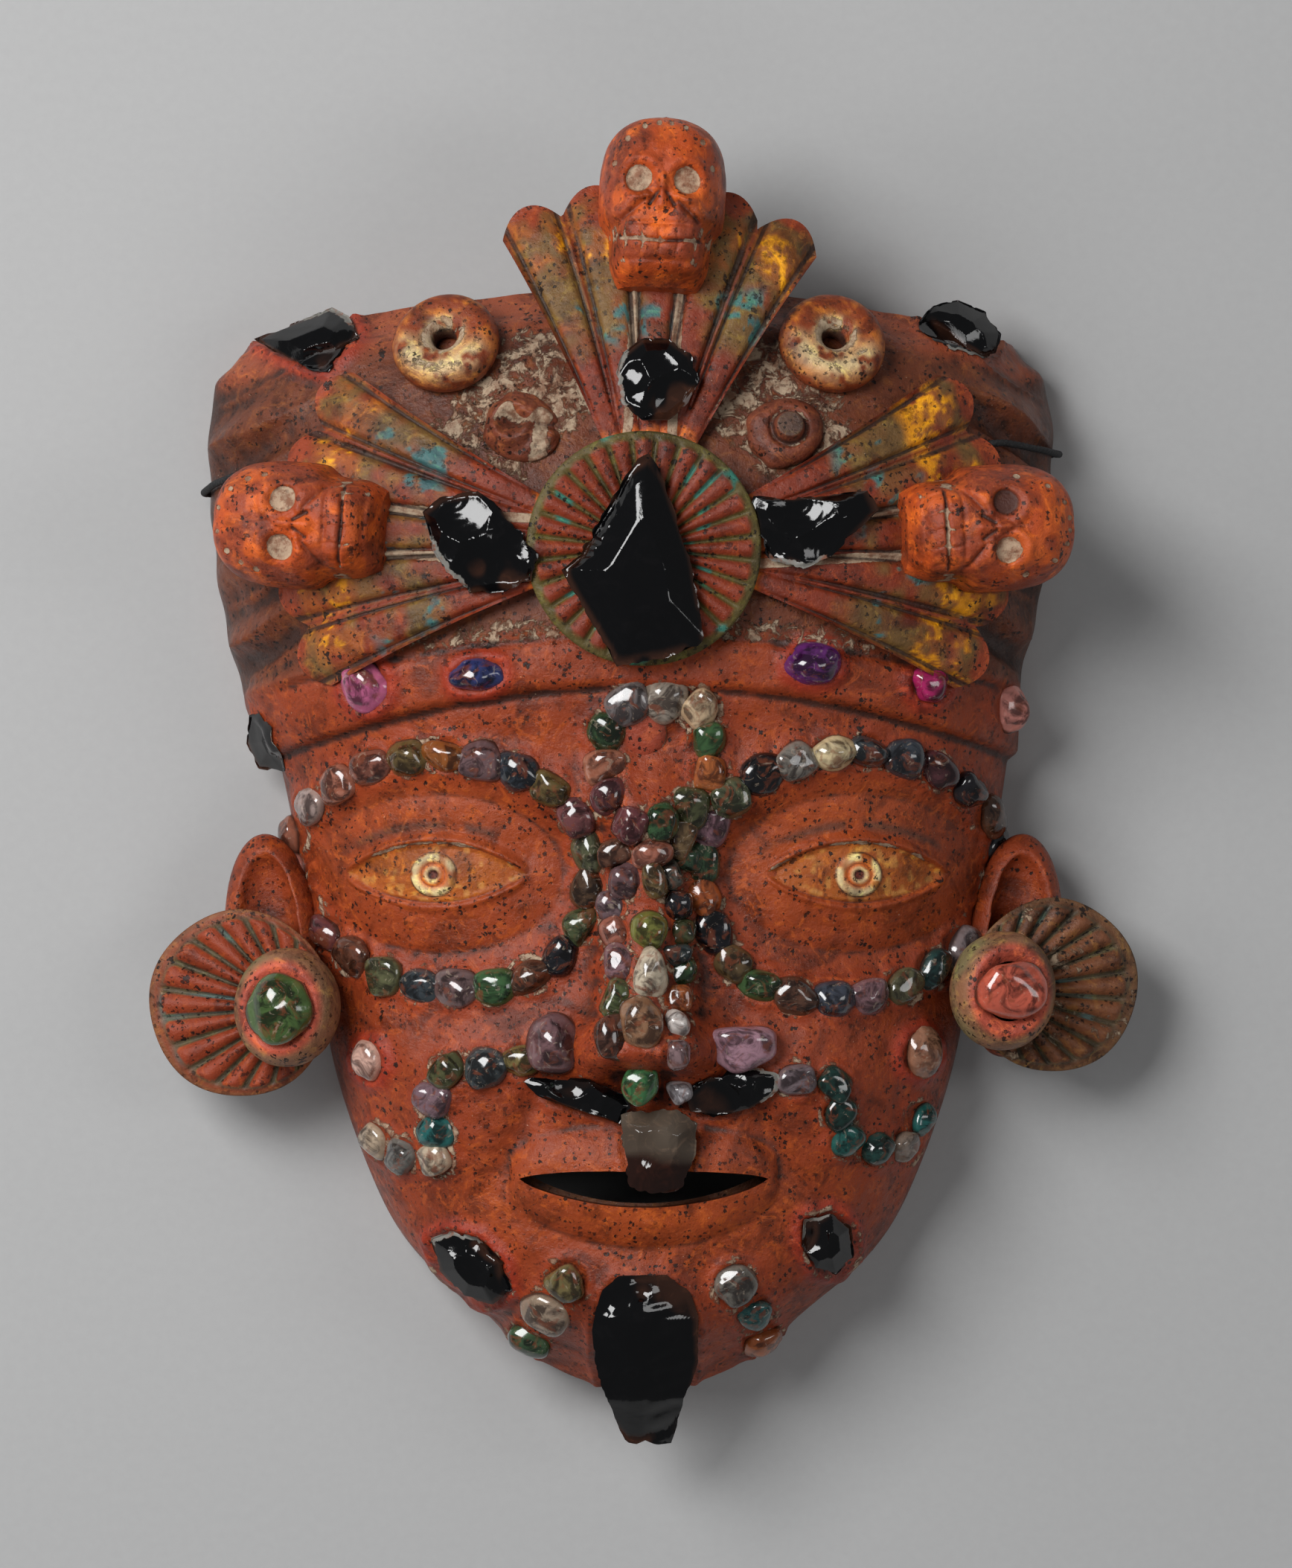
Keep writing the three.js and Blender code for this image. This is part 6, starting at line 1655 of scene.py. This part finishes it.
# Tumbled stones.
def tumbled(form, matrix, length, width, height, tint, seed, detail=(18, 28), squarest=0.68):
    """Adds one stone: a worn block, rounder or squarer by its seed, with a painted highlight towards its
    rim and painted shade at its foot.
    """
    rng = np.random.default_rng(seed)
    rows, columns = detail
    blocky = rng.uniform(squarest, 0.98)
    polar_angle = np.linspace(0, math.pi, rows + 1)[:, None]
    angle = np.linspace(0, 2 * math.pi, columns, endpoint=False)[None]
    raw = [np.sin(polar_angle) * np.cos(angle), np.sin(polar_angle) * np.sin(angle), np.cos(polar_angle)]
    raw = np.stack(np.broadcast_arrays(*raw), -1)
    shaped = np.sign(raw) * np.abs(raw) ** blocky * (0.93 + 0.07 * blocky)
    lumps = 1 + 0.42 * (cloud(raw + 5, 0.8, seed) - 0.5) + 0.07 * (cloud(raw + 5, 0.4, seed + 1) - 0.5)
    skew = 1 + rng.uniform(-0.2, 0.2) * raw[..., 1]
    shaped = shaped * lumps[..., None] * np.stack([skew, np.ones_like(skew), np.ones_like(skew)], -1)
    local = shaped * np.array([length / 2, width / 2, height / 2])
    shade = tint * rng.uniform(0.55, 1.05) * rng.uniform(0.9, 1.1, 3)
    reach = np.hypot(raw[..., 0], raw[..., 1]) * (raw[..., 2] > -0.2)
    # Painted highlight towards the rim, carried in the slip attribute, and painted shade at the foot.
    rim, foot = step(0.6, 0.95, reach), step(0.35, -0.1, raw[..., 2])
    form.grid(moved(local, matrix), shade, rim, foot, wrap=True)


def make_row(name, seed):
    course, width, closed, slot = ROWS[name]
    form = Form()
    count = len(course)
    for k, (x, y, kind) in enumerate(course):
        before = course[(k - 1) % count] if closed or k else course[k]
        after = course[(k + 1) % count] if closed or k < count - 1 else course[k]
        turn = math.degrees(math.atan2(after[1] - before[1], after[0] - before[0]))
        gaps = [math.hypot(n[0] - x, n[1] - y) for n in (before, after) if n is not course[k]]
        rng = np.random.default_rng(seed * 100 + k)
        length = sum(gaps) / len(gaps) * rng.uniform(1.1, 1.3)
        across = width * rng.uniform(1.02, 1.42)
        tall = rng.uniform(8.0, 10.5)
        place = on_clay(x, y, 0.3, turn + rng.uniform(-22, 22), 0.15)
        tumbled(form, place, length, across, tall, STONES[kind], seed * 100 + k)
    return form.piece(name.replace("_stones", "_agates"), STONE_FINISH, slot, name)


def make_single(name, seed):
    tint, slot = SINGLES[name]
    low, high = node_box(name)
    middle, size = (low + high) / 2, high - low
    form = Form()
    if name.startswith("spool"):
        side = "left" if middle[0] < 0 else "right"
        lean = math.radians(math.copysign(DISC_TIP_DEG, middle[0]))
        place = Matrix.Translation((middle[0], middle[1], high[2] - 6)) @ Matrix.Rotation(lean, 4, "Y")
        tumbled(form, place, size[0] * 0.97, size[1] * 0.97, 12, tint, seed, (28, 44), 0.88)
    else:
        point, normal = surface(middle[0], middle[1])
        rise = float(np.clip(high[2] - point[2], 3.0, SINGLE_RISE.get(name, 6.0)))
        length, width = size[0] * 1.14, size[1] * 1.14
        lift, lean = SINGLE_LIFT.get(name, (0.1, 0.15))
        place = on_clay(middle[0], middle[1], lift, 0, lean)
        tumbled(form, place, length, width, 2 * rise * 0.92, tint, seed, (30, 44), 0.82)
    return form.piece(f"{name}_polished", STONE_FINISH, slot, name)


for row_seed, row_name in enumerate(ROWS):
    make_row(row_name, row_seed + 1)
for single_seed, single_name in enumerate(SINGLES):
    make_single(single_name, single_seed + 50)


# Struck obsidian: each CAD flake, between its heights from above and below, with the round scars
# of the blows.
# Per flake: how many coarse and fine scars, the radii that the coarse ones are drawn from, and the
# direction in degrees of the side that keeps its matte rind, or None.
SCARS = {
    "obsidian_point_centre": (4, 14, (24, 40), None),
    "obsidian_flake_top": (7, 14, (8, 18), 175),
    "obsidian_flake_left": (9, 26, (10, 30), 215),
    "obsidian_flake_right": (9, 20, (10, 26), 250),
    "obsidian_corner_left": (9, 16, (6, 15), 60),
    "obsidian_corner_right": (6, 14, (10, 22), 270),
    "obsidian_side_left": (8, 12, (6, 14), 20),
    "obsidian_flake_chin": (9, 34, (7, 12), None),
    "obsidian_jaw_left": (8, 16, (6, 14), 110),
    "obsidian_jaw_right": (8, 16, (6, 14), 130),
    "obsidian_blade_left": (6, 14, (8, 22), None),
    "obsidian_blade_right": (7, 16, (7, 16), 20),
    "obsidian_pendant": (4, 10, (14, 30), None),
}
# Struck faces along one side: direction in degrees, reach round it as a cosine, share of the radius
# where the face starts, and drop at the rim.
BEVELS = {
    "obsidian_point_centre": (132, 0.5, 0.76, 1.7),
    "obsidian_flake_left": (300, 0.7, 0.8, 2.0),
    "obsidian_corner_right": (270, 0.5, 0.7, 1.6),
}
# The share of a flake's depth that its scars take.
SCAR_DEPTHS = {"obsidian_point_centre": 0.16, "obsidian_flake_chin": 0.12, "obsidian_pendant": 0.25}
SCAR_DEPTH = 0.75
FLAKE_RINGS = 40
FLAKE_SIDES = 128


def flake_outline(tree, middle, high):
    """How far the flake reaches from its middle in every direction, seen from above."""
    angle = np.linspace(0, 2 * math.pi, FLAKE_SIDES, endpoint=False)
    reach = np.zeros(FLAKE_SIDES)
    for k, turn in enumerate(angle):
        inside, outside = 0.0, 60.0
        for _ in range(13):
            trial = (inside + outside) / 2
            start = (middle[0] + trial * math.cos(turn), middle[1] + trial * math.sin(turn), high + 5)
            hit = tree.ray_cast(start, (0, 0, -1))[0]
            inside, outside = (trial, outside) if hit else (inside, trial)
        reach[k] = inside
    return angle, reach


def flake_heights(tree, x, y, start, way, fallback):
    """The heights where rays along +Z or -Z meet the flake."""
    z = np.empty(x.shape)
    for place in np.ndindex(x.shape):
        hit = tree.ray_cast((x[place], y[place], start), (0, 0, way))[0]
        z[place] = hit[2] if hit else fallback
    return z


def make_flake(name, seed):
    coarse, fine, radii, rind_degrees = SCARS[name]
    rng = np.random.default_rng(seed)
    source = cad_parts[name].data
    corners = np.array([v.co[:] for v in source.vertices]) / MM
    tree = BVHTree.FromPolygons(corners.tolist(), [tuple(p.vertices) for p in source.polygons])
    low, high = corners.min(axis=0), corners.max(axis=0)
    middle = (low + high) / 2
    angle, reach = flake_outline(tree, middle, high[2])
    rim = np.stack([reach * np.cos(angle), reach * np.sin(angle), 0 * angle], -1)
    bites = step(0.5, 0.85, cloud(rim, 3.5, seed)) + 0.5 * step(0.5, 0.8, cloud(rim, 1.5, seed + 1))
    reach = reach * (1 - np.minimum(0.9 * bites / np.maximum(reach, 4), 0.1)) * 0.997
    share = np.linspace(0, 1, FLAKE_RINGS + 1)[:, None] ** 0.85
    x = middle[0] + share * reach * np.cos(angle)
    y = middle[1] + share * reach * np.sin(angle)
    top = flake_heights(tree, x, y, high[2] + 5, -1, low[2])
    bottom = flake_heights(tree, x, y, low[2] - 5, 1, low[2])
    flat = np.stack([x, y, 0 * x], -1)
    if name == "obsidian_flake_chin":
        line_y = np.linspace(low[1] + 0.5, high[1] - 0.5, 60)
        line_z = flake_heights(tree, line_y * 0 + middle[0], line_y, high[2] + 5, -1, low[2])
        right, left = np.maximum(0, x - middle[0] + 1), np.maximum(0, middle[0] - 5 - x)
        waves = 0.16 * np.sin(y * 1.1 - 0.4 * x + 4 * cloud(flat, 9, 7)) * step(0, 4, right)
        top = np.interp(y, line_y, line_z) - 0.39 * right - 0.2 * left + waves
    depth = high[2] - low[2]
    swell = 0.1 * depth * (cloud(flat, max(reach.mean() * 0.9, 7), seed + 2) - 0.75)
    height = top + swell + 0.3 * (cloud(flat, 7, seed + 3) - 0.9)
    deep = SCAR_DEPTHS.get(name, SCAR_DEPTH)
    if name in BEVELS:
        way, spread, start, drop = BEVELS[name]
        facing = np.cos(angle - math.radians(way))
        waves = 0.12 * np.sin(y * 1.5 + 0.5 * x + 3 * cloud(flat, 8, 7))
        struck = np.maximum(0, share - start) / (1 - start)
        window = step(spread - 0.08, spread + 0.08, facing)
        height = height - window * (drop * struck + waves * (struck > 0))
    blows = [(k, coarse, rng.uniform(*radii), rng.uniform(0.4, 1) * deep) for k in range(coarse)]
    blows += [(k, fine, rng.uniform(3, 7), rng.uniform(0.1, 0.34)) for k in range(fine)]
    for k, count, radius, bite in blows:
        turn = 2 * math.pi * (k + rng.uniform(-0.4, 0.4)) / count
        at = int(turn / (2 * math.pi) * FLAKE_SIDES) % FLAKE_SIDES
        inset = rng.uniform(0.75, 1.1)
        px = middle[0] + reach[at] * inset * math.cos(turn)
        py = middle[1] + reach[at] * inset * math.sin(turn)
        sunk = min(bite * depth, 0.5 * radius)
        from_blow = np.hypot(x - px, y - py)
        bowl = high[2] - sunk + radius - np.sqrt(np.maximum(radius**2 - from_blow**2, 0))
        bowl = bowl + 0.025 * np.sin(from_blow * rng.uniform(2.4, 3.6))
        bowl = bowl + 0.2 * (cloud(flat, 6, seed + k) - 0.5)
        height = np.where(from_blow < radius * 0.97, np.minimum(height, bowl), height)
    ground = flake_heights(CLAY_TREE, x, y, 120, -1, 0) + 1
    height = np.maximum(np.minimum(height, top), np.maximum(np.minimum(bottom + 0.35, top), ground))
    thin = step(3.0, 0.6, height - bottom) * step(0.35, 0.6, cloud(flat, 5, seed + 4))
    smoky = name == "obsidian_pendant"
    if smoky:
        foot = step(middle[1] + 2, middle[1] - 2, y + 3 * cloud(flat, 6, 5))
        paint = mix(mix(SMOKE_PALE, SMOKE_DEEP, cloud(flat, 7, 6)), SMOKE_FOOT, foot)
    else:
        paint = mix(GLASS_BLACK, GLASS_THIN, thin)
    rind = np.zeros_like(x)
    if rind_degrees is not None:
        facing = np.cos(angle - math.radians(rind_degrees))
        rind = 0.75 * step(0.5, 0.9, facing) * step(0.78, 0.95, share)
    form = Form()
    form.grid(np.stack([x, y, height], -1), paint, rind, 0, wrap=True)
    under = np.stack([x, y, np.minimum(bottom, height - 0.05)], -1)
    form.grid(under[::4, ::2], GLASS_UNDER, 0, 0, wrap=True, flip=True)
    edge = np.stack([x[-1], y[-1], height[-1]], -1)
    form.grid(np.stack([edge, under[-1]]), paint[-1][None], 0, 0, wrap=True)
    finish, slot = (SMOKY_FINISH, "obsidian_grey") if smoky else (OBSIDIAN_FINISH, "obsidian")
    return form.piece(name.replace("obsidian", "struck"), finish, slot, name, sharp_degrees=26)


for flake_seed, flake_name in enumerate(FLAKES):
    make_flake(flake_name, flake_seed + 11)


# Floor, lights and background.
FLOOR_REACH = 3.0
FLOOR_DROP = 0.0002
WORLD_COLOR = (0.8, 0.82, 0.85, 1)
WORLD_STRENGTH = 0.15
# Place and aim in metres, size, power, and whether the gloss of the pieces mirrors the light.
LIGHTS = {
    "key": ((-0.8, 0.6, 1.4), (0, 0, 0.03), (0.7, 1.0), 30, True),
    "side": ((-1.3, 0.1, 0.65), (-0.05, 0, 0.03), (0.4, 1.2), 7, False),
    "fill": ((1.2, 0.1, 1.3), (0, 0, 0.03), (0.4, 0.8), 4, True),
    "front": ((0.1, -1.3, 1.3), (0, 0, 0.03), (1.0, 0.4), 4, False),
}


def make_floor():
    mesh = bpy.data.meshes.new("floor")
    ways = ((-1, -1), (1, -1), (1, 1), (-1, 1))
    corners = [(x * FLOOR_REACH, y * FLOOR_REACH, 0) for x, y in ways]
    mesh.from_pydata(corners, [], [(0, 1, 2, 3)])
    s = Surface("studio_floor")
    tone = s.blend(FLOOR_GREY, FLOOR_LIGHT, s.noise(3, 3, 0.6))
    mesh.materials.append(s.finish(Base_Color=tone, Roughness=0.9))
    floor = bpy.data.objects.new("floor", mesh)
    floor.location.z = -FLOOR_DROP
    scene.collection.objects.link(floor)


def make_light(name, place, aim, size, power, mirrored):
    data = bpy.data.lights.new(name, "AREA")
    data.shape = "RECTANGLE"
    data.size, data.size_y = size
    data.energy = power
    light = bpy.data.objects.new(name, data)
    light.location = place
    light.rotation_euler = (Vector(aim) - Vector(place)).to_track_quat("-Z", "Y").to_euler()
    light.visible_glossy = mirrored
    scene.collection.objects.link(light)


make_floor()
for light_name, light_settings in LIGHTS.items():
    make_light(light_name, *light_settings)
world = bpy.data.worlds.new("studio")
world.use_nodes = True
world.node_tree.nodes["Background"].inputs["Color"].default_value = WORLD_COLOR
world.node_tree.nodes["Background"].inputs["Strength"].default_value = WORLD_STRENGTH
scene.world = world
scene.view_settings.view_transform = "Standard"
